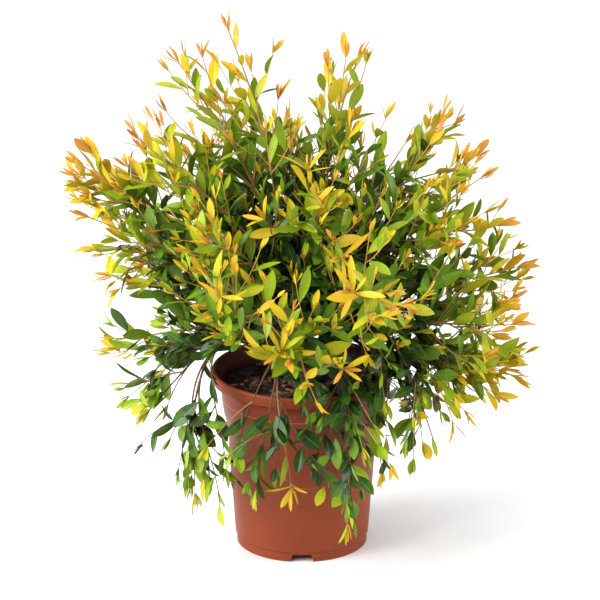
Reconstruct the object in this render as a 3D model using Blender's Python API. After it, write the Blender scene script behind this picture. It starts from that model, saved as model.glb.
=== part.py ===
"""Potted bottlebrush: a bushy young callistemon in a terracotta-coloured nursery pot.

Metres, +Z up, origin at the middle of the pot's underside, +X to the right of the
front view and the front facing -Y. Every shoot is one leader, an arching curve from
the knuckle of the short trunk to a tip. Its lower stretch is a bough, and the rest
is the stem of a mass of foliage that keeps to the space nearer to it than to any
other leader.
"""

import math

import bmesh
import bpy
import numpy as np
from mathutils import Matrix, Vector

SEED = 4815
GAP = 0.0003  # clearance between touching solids

# Pot: outer wall from the foot to the rim, as (radius, height).
POT_SEGMENTS = 36
POT_WALL = 0.0022
FOOT_RADIUS = 0.0724
FOOT_HEIGHT = 0.0100
FOOT_WALL = 0.0036
FLOOR_LOW = 0.0095
FLOOR_HIGH = 0.0125
BODY_WALL = ((0.0739, 0.0118), (0.0808, 0.1020), (0.0816, 0.1290), (0.0858, 0.1512))
COLLAR_WALL = ((0.0867, 0.1524), (0.0888, 0.1680), (0.0902, 0.1900))
RIM_RADIUS = 0.1000
RIM_TOP = 0.2030
RIM_BAND = 0.0126
RIM_INNER = 0.0952
RIM_ROUND = 0.0020
NOTCHES = 3
DRAINS = 6
NOTCH_TOP_WIDTH = 0.0210
NOTCH_FOOT_WIDTH = 0.0266
NOTCH_HEIGHT = 0.0085
DRAIN_RADIUS = 0.0055
DRAIN_CIRCLE = 0.0480

# Soil surface, as (radius, height), inside the pot.
SOIL_TOP = 0.1850
SOIL_RINGS = ((0.0260, SOIL_TOP), (0.0640, 0.1826))
SOIL_EDGE = 0.1838

# Trunk: from a flat cut on the soil, flared at the root, to a knuckle that forks.
TRUNK_SIDES = 12
TRUNK_HEIGHT = 0.0755
TRUNK_RADIUS = 0.0103
TRUNK_FLARE = 0.0068
KNUCKLE_SWELL = 0.0019
TRUNK_LEAN = (-0.0016, 0.0010)

# Leaders: name, heading of the tip in degrees from +X, reach of the tip, height of the tip.
LEADERS = (
    ("crest_tall", 188, 0.076, 0.584),
    ("crest_left", 171, 0.130, 0.540),
    ("crest_right", 0, 0.057, 0.550),
    ("crest_back", 98, 0.098, 0.452),
    ("shoulder_left_high", 197, 0.176, 0.478),
    ("shoulder_right_high", 8, 0.160, 0.470),
    ("brow", -82, 0.110, 0.436),
    ("shoulder_left", 179, 0.230, 0.430),
    ("shoulder_right", -10, 0.188, 0.428),
    ("back_left", 128, 0.188, 0.418),
    ("back_right", 52, 0.182, 0.412),
    ("brow_left", 234, 0.154, 0.400),
    ("side_left", 190, 0.226, 0.388),
    ("side_right", 6, 0.230, 0.310),
    ("front_right", -62, 0.198, 0.352),
    ("front_left", -121, 0.190, 0.330),
    ("side_right_front", -16, 0.230, 0.276),
    ("low_back_left", 134, 0.210, 0.300),
    ("low_back_right", 62, 0.212, 0.290),
    ("front_low", -94, 0.186, 0.282),
    ("side_left_low", 171, 0.204, 0.226),
    ("side_right_low", -1, 0.226, 0.198),
    ("weep_left", 197, 0.172, 0.176),
    ("weep_back", 100, 0.156, 0.158),
    ("weep_right", -36, 0.176, 0.160),
    ("weep_front", -103, 0.128, 0.124),
    ("weep_front_left", 214, 0.150, 0.102),
    ("weep_front_right", -66, 0.131, 0.092),
)
TIERS = 4  # the highest tips leave the trunk from the top tier, the lowest from the bottom one
FORK_LOW = 0.2000
FORK_HIGH = 0.2550
FORK_STAGGER = 0.0020
ROOT_OUT = (0.0090, 0.0082, 0.0080, 0.0078)  # where each tier's leaders start, out from the axis
SWEEP = 0.70  # how far the first headings are spread evenly round the trunk
CLIMB_OVER = 22  # degrees that a leader leaves the trunk above the line to its tip
CLIMB_LEAST, CLIMB_MOST = 50, 84
CLIMB_WEEP, LAND_WEEP = 44, -88
ARM, ARM_WEEP, HANG_WEEP = 0.36, 0.110, 0.185
WEEP_FROM, WEEP_FULL = 0.205, 0.145  # tips lower than the rim hang

# Limbs and foliage.
BOUGH_SIDES = 5
BOUGH_RINGS = 4
LIMB_ROOT_RADIUS = 0.0029
LIMB_TIP_RADIUS = 0.0009
ENTER, ENTER_WEEP = 0.27, 0.50  # share of a leader that is bare bough
STEM_RINGS = 5
STEM_BARE, TWIG_BARE = 0.05, 0.30
TWIGS = 4
TWIG_FIRST, TWIG_LAST = 0.06, 0.66
TWIG_LONG, TWIG_SHORT = 0.100, 0.062
TWIG_SPREAD, TWIG_SPREAD_TIP = 62, 38
TWIG_LIFT = 0.30
TWIG_RADIUS = 0.0012
TWIG_RINGS = 3
TWIG_COLLAR, TWIG_SUNK = 0.20, 0.0006
STEM_LEAVES = 9
LEAVES_EACH, FILL_TRIES = 15, 40
TWIG_LEAVES = 4
LEAF_LONG, LEAF_SHORT = 0.086, 0.044
LEAF_WIDE, LEAF_NARROW = 0.0350, 0.0130
LEAF_THICK = 0.0013
LEAF_APART, WOOD_APART = 0.0065, 0.0025
LEAF_PITCH, LEAF_PITCH_TIP = 58, 24
STEM_SIZES, TWIG_SIZES = (1.0, 0.0), (0.9, 0.3)
UP = np.array((0.0, 0.0, 1.0))
CROWN_MIDDLE = np.array((0.0, 0.0, 0.300))
FACE_UP, FACE_OUT, FACE_LOOSE = 0.55, 0.90, 0.75
SPIRE = 0.0055  # how fast a mass falls away round its tip, for each degree
TIP_ROOM = 0.046
RANK = 120  # stems and twigs are three-sided, with leaves and twigs out of the sides in turn
STEM_STOUT = 1.5  # a three-sided stem is drawn this much wider, for the section of the round one
SPACE_MARGIN = 0.0016
LIMB_MARGIN = 0.0030
POT_MARGIN = 0.0035
TRIES = 9

# Colours.
TERRACOTTA = (0.392, 0.105, 0.050)
SOIL_BROWN = (0.026, 0.016, 0.011)
BARK_BROWN = (0.155, 0.085, 0.045)
LEAF_DEEP = (0.022, 0.085, 0.016)
LEAF_FRESH = (0.110, 0.240, 0.020)
LEAF_GOLD = (0.480, 0.360, 0.030)


def clamp(value, low=0.0, high=1.0):
    return max(low, min(high, value))


def mix(first, second, share):
    return first + (second - first) * share


def heading(turn, climb):
    """The unit vector at this compass turn and climb, in degrees."""
    turn, climb = math.radians(turn), math.radians(climb)
    flat = math.cos(climb)
    return np.array((flat * math.cos(turn), flat * math.sin(turn), math.sin(climb)))


def unit(vector):
    return vector / np.linalg.norm(vector)


def turned_about(vector, axis, degrees):
    """The vector turned about the axis, at right angles to it, by this angle."""
    angle = math.radians(degrees)
    return vector * math.cos(angle) + np.cross(axis, vector) * math.sin(angle)


# ---------------------------------------------------------------- objects


def clear_scene():
    for obj in list(bpy.data.objects):
        bpy.data.objects.remove(obj, do_unlink=True)


def material(name, colour, roughness):
    found = bpy.data.materials.new(name)
    found.use_nodes = True
    shader = found.node_tree.nodes["Principled BSDF"]
    shader.inputs["Base Color"].default_value = (*colour, 1.0)
    shader.inputs["Roughness"].default_value = roughness
    shader.inputs["Metallic"].default_value = 0.0
    found.diffuse_color = (*colour, 1.0)
    return found


def new_object(name, mesh, look=None, collection=None):
    obj = bpy.data.objects.new(name, mesh)
    (collection or bpy.context.scene.collection).objects.link(obj)
    if look:
        mesh.materials.append(look)
    return obj


def mesh_from(name, points, faces):
    mesh = bpy.data.meshes.new(name)
    mesh.from_pydata([tuple(map(float, point)) for point in points], [], faces)
    mesh.update()
    return mesh


def settle(obj, origin, parent):
    """Moves the object's own origin to this point and hangs it on the parent."""
    origin = Vector(tuple(map(float, origin)))
    obj.data.transform(Matrix.Translation(-origin))
    obj.location = origin
    obj.parent = parent


def turned(name, profile, segments):
    """A closed solid turned about Z from a profile whose two ends lie on the axis."""
    shape = bmesh.new()
    points = [shape.verts.new((radius, 0.0, height)) for radius, height in profile]
    edges = [shape.edges.new(pair) for pair in zip(points, points[1:])]
    bmesh.ops.spin(shape, geom=points + edges, axis=(0, 0, 1), cent=(0, 0, 0),
                   angle=2 * math.pi, steps=segments, use_merge=True)
    bmesh.ops.remove_doubles(shape, verts=shape.verts, dist=1e-6)
    bmesh.ops.recalc_face_normals(shape, faces=shape.faces)
    mesh = bpy.data.meshes.new(name)
    shape.to_mesh(mesh)
    shape.free()
    mesh.shade_smooth()
    mesh.set_sharp_from_angle(angle=math.radians(28))
    return mesh


def as_cutter(obj):
    obj.hide_render = True
    obj.display_type = "WIRE"


# ---------------------------------------------------------------- pot and soil


def pot_outer(height):
    """The outer radius of the pot's wall at this height, under the rim band."""
    stations = ((FOOT_RADIUS, FOOT_HEIGHT),) + BODY_WALL + COLLAR_WALL
    heights = [station[1] for station in stations]
    return np.interp(height, heights, [station[0] for station in stations])


def pot_profile():
    band_foot = RIM_TOP - RIM_BAND
    outside = [(FOOT_RADIUS, 0.0), (FOOT_RADIUS, FOOT_HEIGHT), *BODY_WALL, *COLLAR_WALL]
    band = [(RIM_RADIUS - 0.0012, band_foot), (RIM_RADIUS, band_foot + 0.0012)]
    for step in range(3):
        angle = math.radians(45 * step)
        band.append((RIM_RADIUS - RIM_ROUND + RIM_ROUND * math.cos(angle),
                     RIM_TOP - RIM_ROUND + RIM_ROUND * math.sin(angle)))
    inside = [(RIM_INNER, RIM_TOP), (RIM_INNER - 0.0010, RIM_TOP - 0.0012)]
    walls = [COLLAR_WALL[2], COLLAR_WALL[1], BODY_WALL[3], BODY_WALL[2], BODY_WALL[0]]
    inside += [(radius - POT_WALL, height) for radius, height in walls]
    inside[-1] = (inside[-1][0], FLOOR_HIGH)
    ring = FOOT_RADIUS - FOOT_WALL
    under = [(0.0, FLOOR_LOW), (ring - 0.0008, FLOOR_LOW), (ring, 0.0)]
    return under + outside + band + inside + [(0.0, FLOOR_HIGH)]


def notch_cutter(turn, collection):
    """A wedge that opens the foot ring, wider at the ground."""
    across = ((-NOTCH_FOOT_WIDTH / 2, -0.001), (NOTCH_FOOT_WIDTH / 2, -0.001),
              (NOTCH_TOP_WIDTH / 2, NOTCH_HEIGHT - 0.0012), (NOTCH_TOP_WIDTH / 2 - 0.0012, NOTCH_HEIGHT),
              (0.0012 - NOTCH_TOP_WIDTH / 2, NOTCH_HEIGHT), (-NOTCH_TOP_WIDTH / 2, NOTCH_HEIGHT - 0.0012))
    near, far = FOOT_RADIUS - 0.012, FOOT_RADIUS + 0.010
    points = [(near, y, z) for y, z in across] + [(far, y, z) for y, z in across]
    count = len(across)
    faces = [tuple(range(count))[::-1], tuple(range(count, 2 * count))]
    faces += [(i, (i + 1) % count, (i + 1) % count + count, i + count) for i in range(count)]
    cutter = new_object("notch_cutter", mesh_from("notch_cutter", points, faces), collection=collection)
    cutter.rotation_euler[2] = math.radians(turn)
    as_cutter(cutter)


def drain_cutter(turn, collection):
    shape = bmesh.new()
    bmesh.ops.create_cone(shape, cap_ends=True, segments=8, radius1=DRAIN_RADIUS,
                          radius2=DRAIN_RADIUS, depth=0.010)
    mesh = bpy.data.meshes.new("drain_cutter")
    shape.to_mesh(mesh)
    shape.free()
    cutter = new_object("drain_cutter", mesh, collection=collection)
    cutter.location = DRAIN_CIRCLE * Vector(heading(turn, 0)) + Vector((0, 0, (FLOOR_LOW + FLOOR_HIGH) / 2))
    as_cutter(cutter)


def build_pot(parent):
    cutters = bpy.data.collections.new("pot_cutters")
    bpy.context.scene.collection.children.link(cutters)
    pot = new_object("pot", turned("pot", pot_profile(), POT_SEGMENTS), material("terracotta", TERRACOTTA, 0.55))
    for index in range(NOTCHES):
        notch_cutter(360 / NOTCHES * index - 90, cutters)
    for index in range(DRAINS):
        drain_cutter(360 / DRAINS * index - 60, cutters)
    cut = pot.modifiers.new("openings", "BOOLEAN")
    cut.operation = "DIFFERENCE"
    cut.operand_type = "COLLECTION"
    cut.collection = cutters
    pot.parent = parent


def build_soil(parent):
    """The root ball that fills the pot, a little lower at the wall than at the trunk."""
    walls = [BODY_WALL[0], BODY_WALL[2], BODY_WALL[3], COLLAR_WALL[1]]
    sides = [(radius - POT_WALL - GAP, height) for radius, height in walls]
    sides[0] = (sides[0][0], FLOOR_HIGH + GAP)
    edge = (sides[-1][0], SOIL_EDGE)
    profile = [(0.0, FLOOR_HIGH + GAP), *sides, edge, *SOIL_RINGS[::-1], (0.0, SOIL_TOP)]
    mesh = turned("soil", profile, POT_SEGMENTS)
    soil = new_object("soil", mesh, material("potting_soil", SOIL_BROWN, 0.95))
    settle(soil, (0, 0, FLOOR_HIGH + GAP), parent)


# ---------------------------------------------------------------- limbs


def trunk_radius(height, turn):
    """Radius at this height over the soil: root flare with lobes, waist, then the knuckle."""
    flare = math.exp(-height / 0.011)
    swell = math.exp(-(((height - 0.056) / 0.019) ** 2))
    lobes = 1 + 0.16 * flare * math.cos(5 * turn + 0.7) + 0.05 * swell * math.cos(3 * turn)
    return (TRUNK_RADIUS + TRUNK_FLARE * flare + KNUCKLE_SWELL * swell) * lobes


def trunk_mesh(name, grow=0.0):
    """The trunk, or the same shape grown outwards by a clearance."""
    rings = [(height, 1.0) for height in (0.0, 0.004, 0.010, 0.019, 0.031, 0.044, 0.056, 0.064)]
    rings += [(0.0705, 0.90), (0.0742, 0.66), (TRUNK_HEIGHT, 0.32)]
    points = []
    for height, share in rings:
        along = height / TRUNK_HEIGHT
        middle = (TRUNK_LEAN[0] * along ** 2, TRUNK_LEAN[1] * along ** 2)
        lift = height + grow * (-1 if height == 0 else 0 if share == 1 else 1)
        for side in range(TRUNK_SIDES):
            turn = 2 * math.pi * side / TRUNK_SIDES
            radius = trunk_radius(height, turn) * share + grow
            points.append((middle[0] + radius * math.cos(turn), middle[1] + radius * math.sin(turn),
                           SOIL_TOP + GAP + lift))
    return mesh_from(name, points, ring_faces(len(rings), TRUNK_SIDES))


def ring_faces(rings, sides):
    """Faces of a closed stack of rings, each numbered anticlockwise seen from its tip."""
    faces = [tuple(range(sides))[::-1]]
    for ring in range(rings - 1):
        for side in range(sides):
            low, after = ring * sides, (side + 1) % sides
            faces.append((low + side, low + after, low + sides + after, low + sides + side))
    faces.append(tuple((rings - 1) * sides + side for side in range(sides)))
    return faces


def weeping(leader):
    return clamp((WEEP_FROM - leader[3]) / (WEEP_FROM - WEEP_FULL))


def leader_curve(leader, tier, place, first):
    """Four Bezier points: out of the knuckle at the first heading, in to the tip."""
    _, turn, reach, top = leader
    fork = mix(FORK_HIGH, FORK_LOW, tier / (TIERS - 1)) + FORK_STAGGER * (1 if place % 2 else -1)
    weep = weeping(leader)
    chord = math.degrees(math.atan2(top - fork, reach))
    length = math.hypot(top - fork, reach)
    climb = mix(clamp(chord + CLIMB_OVER, CLIMB_LEAST, CLIMB_MOST), CLIMB_WEEP, weep)
    land = mix(max(chord - 8, -10), LAND_WEEP, weep)
    root = np.array((0, 0, fork)) + ROOT_OUT[tier] * heading(first, 0)
    tip = np.array((0, 0, top)) + reach * heading(turn, 0)
    out = root + mix(ARM * length, ARM_WEEP, weep) * heading(first, climb)
    back = tip - mix(ARM * length, HANG_WEEP, weep) * heading(turn, land)
    return np.array((root, out, back, tip))


def leader_curves():
    """Every leader's curve: tiers by the height of the tips, spread round the trunk within a tier."""
    highest_first = sorted(LEADERS, key=lambda leader: -leader[3])
    count = len(LEADERS) // TIERS
    curves = {}
    for tier in range(TIERS):
        members = sorted(highest_first[tier * count:(tier + 1) * count], key=lambda leader: leader[1] % 360)
        drifts = [math.radians(leader[1] - 360 / count * i) for i, leader in enumerate(members)]
        start = math.degrees(math.atan2(sum(map(math.sin, drifts)), sum(map(math.cos, drifts))))
        for place, leader in enumerate(members):
            off = (start + 360 / count * place - leader[1] + 180) % 360 - 180
            curves[leader[0]] = leader_curve(leader, tier, place, leader[1] + SWEEP * off)
    return curves


def on_curve(curve, share):
    """Points on a leader at these shares of its run from 0 to 1."""
    share = np.atleast_1d(share)[:, None]
    left = 1 - share
    return (left ** 3 * curve[0] + 3 * share * left ** 2 * curve[1]
            + 3 * share ** 2 * left * curve[2] + share ** 3 * curve[3])


def curve_runs(curve, share):
    """The directions of a leader at these shares of its run."""
    share = np.atleast_1d(share)[:, None]
    left = 1 - share
    return (left ** 2 * (curve[1] - curve[0]) + 2 * share * left * (curve[2] - curve[1])
            + share ** 2 * (curve[3] - curve[2]))


def limb_radius(share):
    return mix(LIMB_ROOT_RADIUS, LIMB_TIP_RADIUS, np.asarray(share) ** 0.8)


def side_of(run, across):
    """A unit vector square to the run, in the plane that `across` is square to."""
    return unit(np.cross(run, across))


def tube(points, runs, radii, sides, across):
    """A closed tapering limb with a ring square to its run at each point."""
    found = []
    for point, run, radius in zip(points, runs, radii):
        run = unit(run)
        side = side_of(run, across)
        for index in range(sides):
            found.append(point + radius * turned_about(side, run, 360 * index / sides))
    return found, ring_faces(len(points), sides)


def rooted_tube(points, radii, sides, across):
    """A side twig: as a tube, but from a point root sunk in the stem that bears it."""
    first = unit(points[1] - points[0])
    collar = mix(points[0], points[1], TWIG_COLLAR)
    paths = np.concatenate(([collar], points[1:]))
    rings, faces = tube(paths, np.gradient(points, axis=0), radii, sides, across)
    rings.append(points[0] - TWIG_SUNK * first)
    root = len(rings) - 1
    return rings, [(root, (side + 1) % sides, side) for side in range(sides)] + faces[1:]


def build_trunk(parent, bark):
    trunk = new_object("trunk", trunk_mesh("trunk"), bark)
    trunk.data.shade_smooth()
    trunk.data.set_sharp_from_angle(angle=math.radians(50))
    settle(trunk, (0, 0, SOIL_TOP + GAP), parent)


def build_bough(name, curve, across, enter, cutter, parent, bark):
    """The bare stretch of a leader, cut to the trunk so that it seats on it."""
    shares = np.linspace(0, enter, BOUGH_RINGS)
    points = on_curve(curve, shares)
    runs = curve_runs(curve, shares)
    mesh = mesh_from("bough_" + name, *tube(points, runs, limb_radius(shares), BOUGH_SIDES, across))
    mesh.shade_smooth()
    mesh.set_sharp_from_angle(angle=math.radians(70))
    bough = new_object("bough_" + name, mesh, bark)
    seat = bough.modifiers.new("seat_on_trunk", "BOOLEAN")
    seat.operation = "DIFFERENCE"
    seat.object = cutter
    settle(bough, points[0], parent)


# ---------------------------------------------------------------- foliage


class Space:
    """Where foliage may grow: nearer to its own leader than to others, clear of limbs and pot."""

    def __init__(self, curves, enters):
        tips = np.array([curve[3] for curve in curves.values()]) - CROWN_MIDDLE
        self.spans = np.linalg.norm(tips, axis=1)
        self.tips = tips / self.spans[:, None]
        self.axes = np.array([on_curve(curve, np.linspace(enters[name], 1.0, 40))
                              for name, curve in curves.items()])
        shares = [np.linspace(0, enters[name] - 0.004, 48) for name in curves]
        self.limbs = np.concatenate([on_curve(curve, share) for curve, share in zip(curves.values(), shares)])
        self.limb_radii = np.concatenate([limb_radius(share) for share in shares])

    def holds(self, index, points):
        points = np.asarray(points)
        away = np.linalg.norm(points[:, None, None] - self.axes[None], axis=3).min(axis=2)
        own = away[:, index].copy()
        away[:, index] = 1.0
        if (away.min(axis=1) - own < 2 * SPACE_MARGIN).any():
            return False
        out = points - CROWN_MIDDLE
        span = np.linalg.norm(out, axis=1)
        off = np.degrees(np.arccos(np.clip(out @ self.tips[index] / span, -1, 1)))
        spire = SPIRE * (1 + max(0.0, self.tips[index][2]))
        if (span > self.spans[index] * (1 - spire * off) + TIP_ROOM).any():
            return False
        limbs = np.linalg.norm(points[:, None] - self.limbs[None], axis=2) - self.limb_radii
        if limbs.min() < LIMB_MARGIN:
            return False
        radius, height = np.hypot(points[:, 0], points[:, 1]), points[:, 2]
        beside = (height < RIM_TOP - RIM_BAND - POT_MARGIN) & (radius > pot_outer(height) + POT_MARGIN)
        outside = radius > RIM_RADIUS + POT_MARGIN
        over = (height > RIM_TOP + POT_MARGIN) & ((radius > 0.024) | (height > 0.270))
        return bool((beside | outside | over).all() and height.min() > 0.02)


def leaf(root, run, face, length, width):
    """A leaf blade: an oval outline of six points, arched lengthwise, and one ridge point on top."""
    run = unit(run)
    face = unit(face - run * face.dot(run))
    across = np.cross(run, face)
    points = [root]
    for along, half, rise in ((0.34, 0.44, 0.045), (0.66, 0.42, 0.016)):
        middle = root + run * length * along + face * length * rise
        points += [middle - across * width * half, middle + across * width * half]
    points.append(root + run * length)
    points.append(root + run * length * 0.34 + face * (length * 0.045 + LEAF_THICK))
    faces = [(0, 6, 1), (1, 6, 3), (3, 6, 5), (5, 6, 4), (4, 6, 2), (2, 6, 0)]
    faces += [(0, 1, 2), (1, 3, 4), (1, 4, 2), (3, 5, 4)]
    return points, faces


def leaf_probe(points):
    """Points all over a leaf but its root, to test for space."""
    root, low_left, low_right, left, right, tip, ridge = points
    bands = ((low_left, low_right), (mix(low_left, left, 0.5), mix(low_right, right, 0.5)), (left, right),
             (mix(left, tip, 0.5), mix(right, tip, 0.5)))
    found = [mix(one, other, share) for one, other in bands for share in (0.0, 0.25, 0.5, 0.75, 1.0)]
    return np.array([mix(root, ridge, 0.6), *found, tip])


def apart(points, others, least):
    """Whether these points keep this far from all the others."""
    return len(others) == 0 or np.linalg.norm(points[:, None] - others[None], axis=2).min() > least


def along(points, spot):
    """The point and the direction at this share of a stem or twig."""
    place = spot * (len(points) - 1)
    low = min(int(place), len(points) - 2)
    return mix(points[low], points[low + 1], place - low), unit(points[low + 1] - points[low])


def grow_twigs(space, index, stem, across, weep, rng):
    """Side twigs out of the stem's sides in turn, bending upwards, or down where the shoot hangs."""
    roll = RANK / 2 + RANK * rng.integers(3)
    for number in range(TWIGS):
        spot = mix(TWIG_FIRST, TWIG_LAST, number / (TWIGS - 1))
        root, run = along(stem, spot)
        side = side_of(run, across)
        for attempt in range(TRIES):
            roll += RANK
            turn = roll + rng.uniform(-14, 14)
            spread = math.radians(mix(TWIG_SPREAD, TWIG_SPREAD_TIP, spot) + rng.uniform(-6, 6))
            length = mix(TWIG_LONG, TWIG_SHORT, spot) * rng.uniform(0.85, 1.10) * (1 - 0.05 * attempt)
            ahead = run * math.cos(spread) + turned_about(side, run, turn) * math.sin(spread)
            lift = np.array((0, 0, mix(TWIG_LIFT, -TWIG_LIFT, weep)))
            steps = np.linspace(0, 1, TWIG_RINGS)[:, None]
            points = root + length * (steps * ahead + steps ** 2 * (lift + 0.15 * run))
            halves = (points[1:] + points[:-1]) / 2
            if space.holds(index, np.concatenate((points[1:], halves))):
                yield points, np.cross(ahead, run)
                break


def grow_leaves(space, index, shoot, sizes, lift, rng, wood, blades):
    """Leaves in three ranks along a stem or twig, from its tip back, smaller towards the tip."""
    points, across, spots = shoot
    roll = RANK / 2 + RANK * rng.integers(3)
    for spot in spots[::-1]:
        root, run = along(points, spot)
        side = side_of(run, across)
        size = mix(*sizes, spot ** 1.5)
        for attempt in range(TRIES):
            roll += RANK
            pitch = mix(LEAF_PITCH, LEAF_PITCH_TIP, spot) + rng.uniform(-7, 7)
            pitch = math.radians(pitch if spot < 1 else 6)
            out = turned_about(side, run, roll + rng.uniform(-9, 9))
            ahead = unit(run * math.cos(pitch) + out * math.sin(pitch) + lift * UP)
            grown = size * (1 - 0.06 * attempt)
            length = mix(LEAF_SHORT, LEAF_LONG, grown) * rng.uniform(0.90, 1.08)
            face = FACE_UP * UP + FACE_OUT * unit(root - CROWN_MIDDLE) + FACE_LOOSE * rng.uniform(-1, 1, 3)
            blade, faces = leaf(root - ahead * 0.0004, ahead, unit(face), length,
                                mix(LEAF_NARROW, LEAF_WIDE, grown))
            probe = leaf_probe(blade)
            clear = apart(probe, wood, WOOD_APART) and all(apart(probe, other, LEAF_APART) for other in blades)
            if clear and space.holds(index, probe):
                blades.append(probe)
                yield blade, faces
                break


def fuse(name, shells, look):
    """Joins closed shells into one body by one union on a collection, applied."""
    helpers = bpy.data.collections.new(name + "_pieces")
    bpy.context.scene.collection.children.link(helpers)
    for points, faces in shells[1:]:
        new_object(name + "_piece", mesh_from(name + "_piece", points, faces), collection=helpers)
    body = new_object(name, mesh_from(name, *shells[0]), look)
    union = body.modifiers.new("union", "BOOLEAN")
    union.operation = "UNION"
    union.operand_type = "COLLECTION"
    union.collection = helpers
    union.solver = "MANIFOLD"
    with bpy.context.temp_override(object=body, active_object=body, selected_objects=[body]):
        bpy.ops.object.modifier_apply(modifier=union.name)
    for helper in list(helpers.objects):
        bpy.data.objects.remove(helper, do_unlink=True)
    bpy.data.collections.remove(helpers)
    return body


def build_mass(index, leader, curve, across, enter, space, parent, look):
    """One mass: the leader's stem beyond its bough, side twigs, and leaves on both."""
    name = "foliage_" + leader[0]
    rng = np.random.default_rng(SEED + 97 * index)
    start = enter + GAP / (3 * np.linalg.norm(curve_runs(curve, enter)[0]))
    weep = weeping(leader)
    shares = np.linspace(start, 1.0, STEM_RINGS)
    stem = on_curve(curve, shares)
    shells = [tube(stem, curve_runs(curve, shares), limb_radius(shares) * STEM_STOUT, 3, across)]
    twigs = list(grow_twigs(space, index, stem, across, weep, rng))
    for twig, level in twigs:
        radii = np.linspace(TWIG_RADIUS, 0.6 * TWIG_RADIUS, TWIG_RINGS)
        shells.append(rooted_tube(twig, radii, 3, level))
    wood = np.array([along(path, spot)[0] for path in (stem, *(twig for twig, _ in twigs))
                     for spot in np.linspace(0, 1, 17)])
    shoots = [(stem, across, np.linspace(STEM_BARE, 1, STEM_LEAVES), STEM_SIZES)]
    shoots += [(twig, level, np.linspace(TWIG_BARE, 1, TWIG_LEAVES), TWIG_SIZES) for twig, level in twigs]
    lift = mix(0.10, -0.20, weep)
    blades = []
    for *shoot, sizes in shoots:
        shells += list(grow_leaves(space, index, shoot, sizes, lift, rng, wood, blades))
    for _ in range(FILL_TRIES):
        if len(blades) >= LEAVES_EACH:
            break
        path, level, _, sizes = shoots[rng.integers(len(shoots))]
        spot = rng.uniform(TWIG_BARE / 2, 0.95, 1)
        shells += list(grow_leaves(space, index, (path, level, spot), sizes, lift, rng, wood, blades))
    body = fuse(name, shells, look)
    settle(body, stem[0], parent)
    return len(blades)


def build():
    clear_scene()
    root = bpy.data.objects.new("potted_bottlebrush", None)
    bpy.context.scene.collection.objects.link(root)
    bark = material("bark", BARK_BROWN, 0.85)
    looks = (material("foliage_deep", LEAF_DEEP, 0.42), material("foliage_fresh", LEAF_FRESH, 0.45),
             material("foliage_gold", LEAF_GOLD, 0.48))
    build_pot(root)
    build_soil(root)
    build_trunk(root, bark)
    cutter = new_object("trunk_clearance", trunk_mesh("trunk_clearance", GAP))
    as_cutter(cutter)
    curves = leader_curves()
    curves = {leader[0]: curves[leader[0]] for leader in LEADERS}
    enters = {leader[0]: mix(ENTER, ENTER_WEEP, weeping(leader)) for leader in LEADERS}
    space = Space(curves, enters)
    total = 0
    for index, leader in enumerate(LEADERS):
        name = leader[0]
        across = heading(leader[1] + 90, 0)
        build_bough(name, curves[name], across, enters[name], cutter, root, bark)
        look = looks[0 if leader[3] < 0.25 else 1 if leader[3] < 0.44 else 2]
        total += build_mass(index, leader, curves[name], across, enters[name], space, root, look)
    print("leaves:", total)


if __name__ == "__main__":
    build()
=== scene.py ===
"""Potted bottlebrush: the finish of a bushy young callistemon in a terracotta-coloured pot.

The solids give the trunk, the boughs, and one space of foliage round each leader. Here
every leader grows on by the same rule, through side shoots and finer twigs, to leaves
of their real size. Metres, +Z up, the front facing -Y.
"""

import math
from collections import namedtuple

import bpy
import numpy as np
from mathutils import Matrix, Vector


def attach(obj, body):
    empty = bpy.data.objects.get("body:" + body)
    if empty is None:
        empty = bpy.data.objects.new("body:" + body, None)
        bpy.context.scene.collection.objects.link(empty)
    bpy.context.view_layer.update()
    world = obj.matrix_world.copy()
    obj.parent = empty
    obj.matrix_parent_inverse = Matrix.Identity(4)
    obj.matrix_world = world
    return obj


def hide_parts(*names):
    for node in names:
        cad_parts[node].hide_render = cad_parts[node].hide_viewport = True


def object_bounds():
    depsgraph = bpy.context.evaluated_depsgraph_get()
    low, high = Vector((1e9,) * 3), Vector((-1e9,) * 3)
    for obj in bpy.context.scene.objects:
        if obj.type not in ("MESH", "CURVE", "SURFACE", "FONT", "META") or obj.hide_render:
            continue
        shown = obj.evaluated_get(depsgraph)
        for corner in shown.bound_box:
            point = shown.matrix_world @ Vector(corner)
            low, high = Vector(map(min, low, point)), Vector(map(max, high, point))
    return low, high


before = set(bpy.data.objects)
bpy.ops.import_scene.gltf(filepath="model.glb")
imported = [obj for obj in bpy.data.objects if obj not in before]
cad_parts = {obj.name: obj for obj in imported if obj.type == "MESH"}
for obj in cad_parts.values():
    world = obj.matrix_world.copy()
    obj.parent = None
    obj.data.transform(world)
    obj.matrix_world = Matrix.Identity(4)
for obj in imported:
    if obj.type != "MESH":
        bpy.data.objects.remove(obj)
cad_low, cad_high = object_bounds()

SEED = 11
SOIL_SEED = 52
BODY = "root"

# Camera: a long lens that looks down a little on the crown.
SENSOR = 36.0
LENS = 326.66
CAMERA_FAR = 6.0
CAMERA_LIFT = math.radians(19.5)
CAMERA_AIM = Vector((-0.0022, 0.0, 0.2824))

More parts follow.
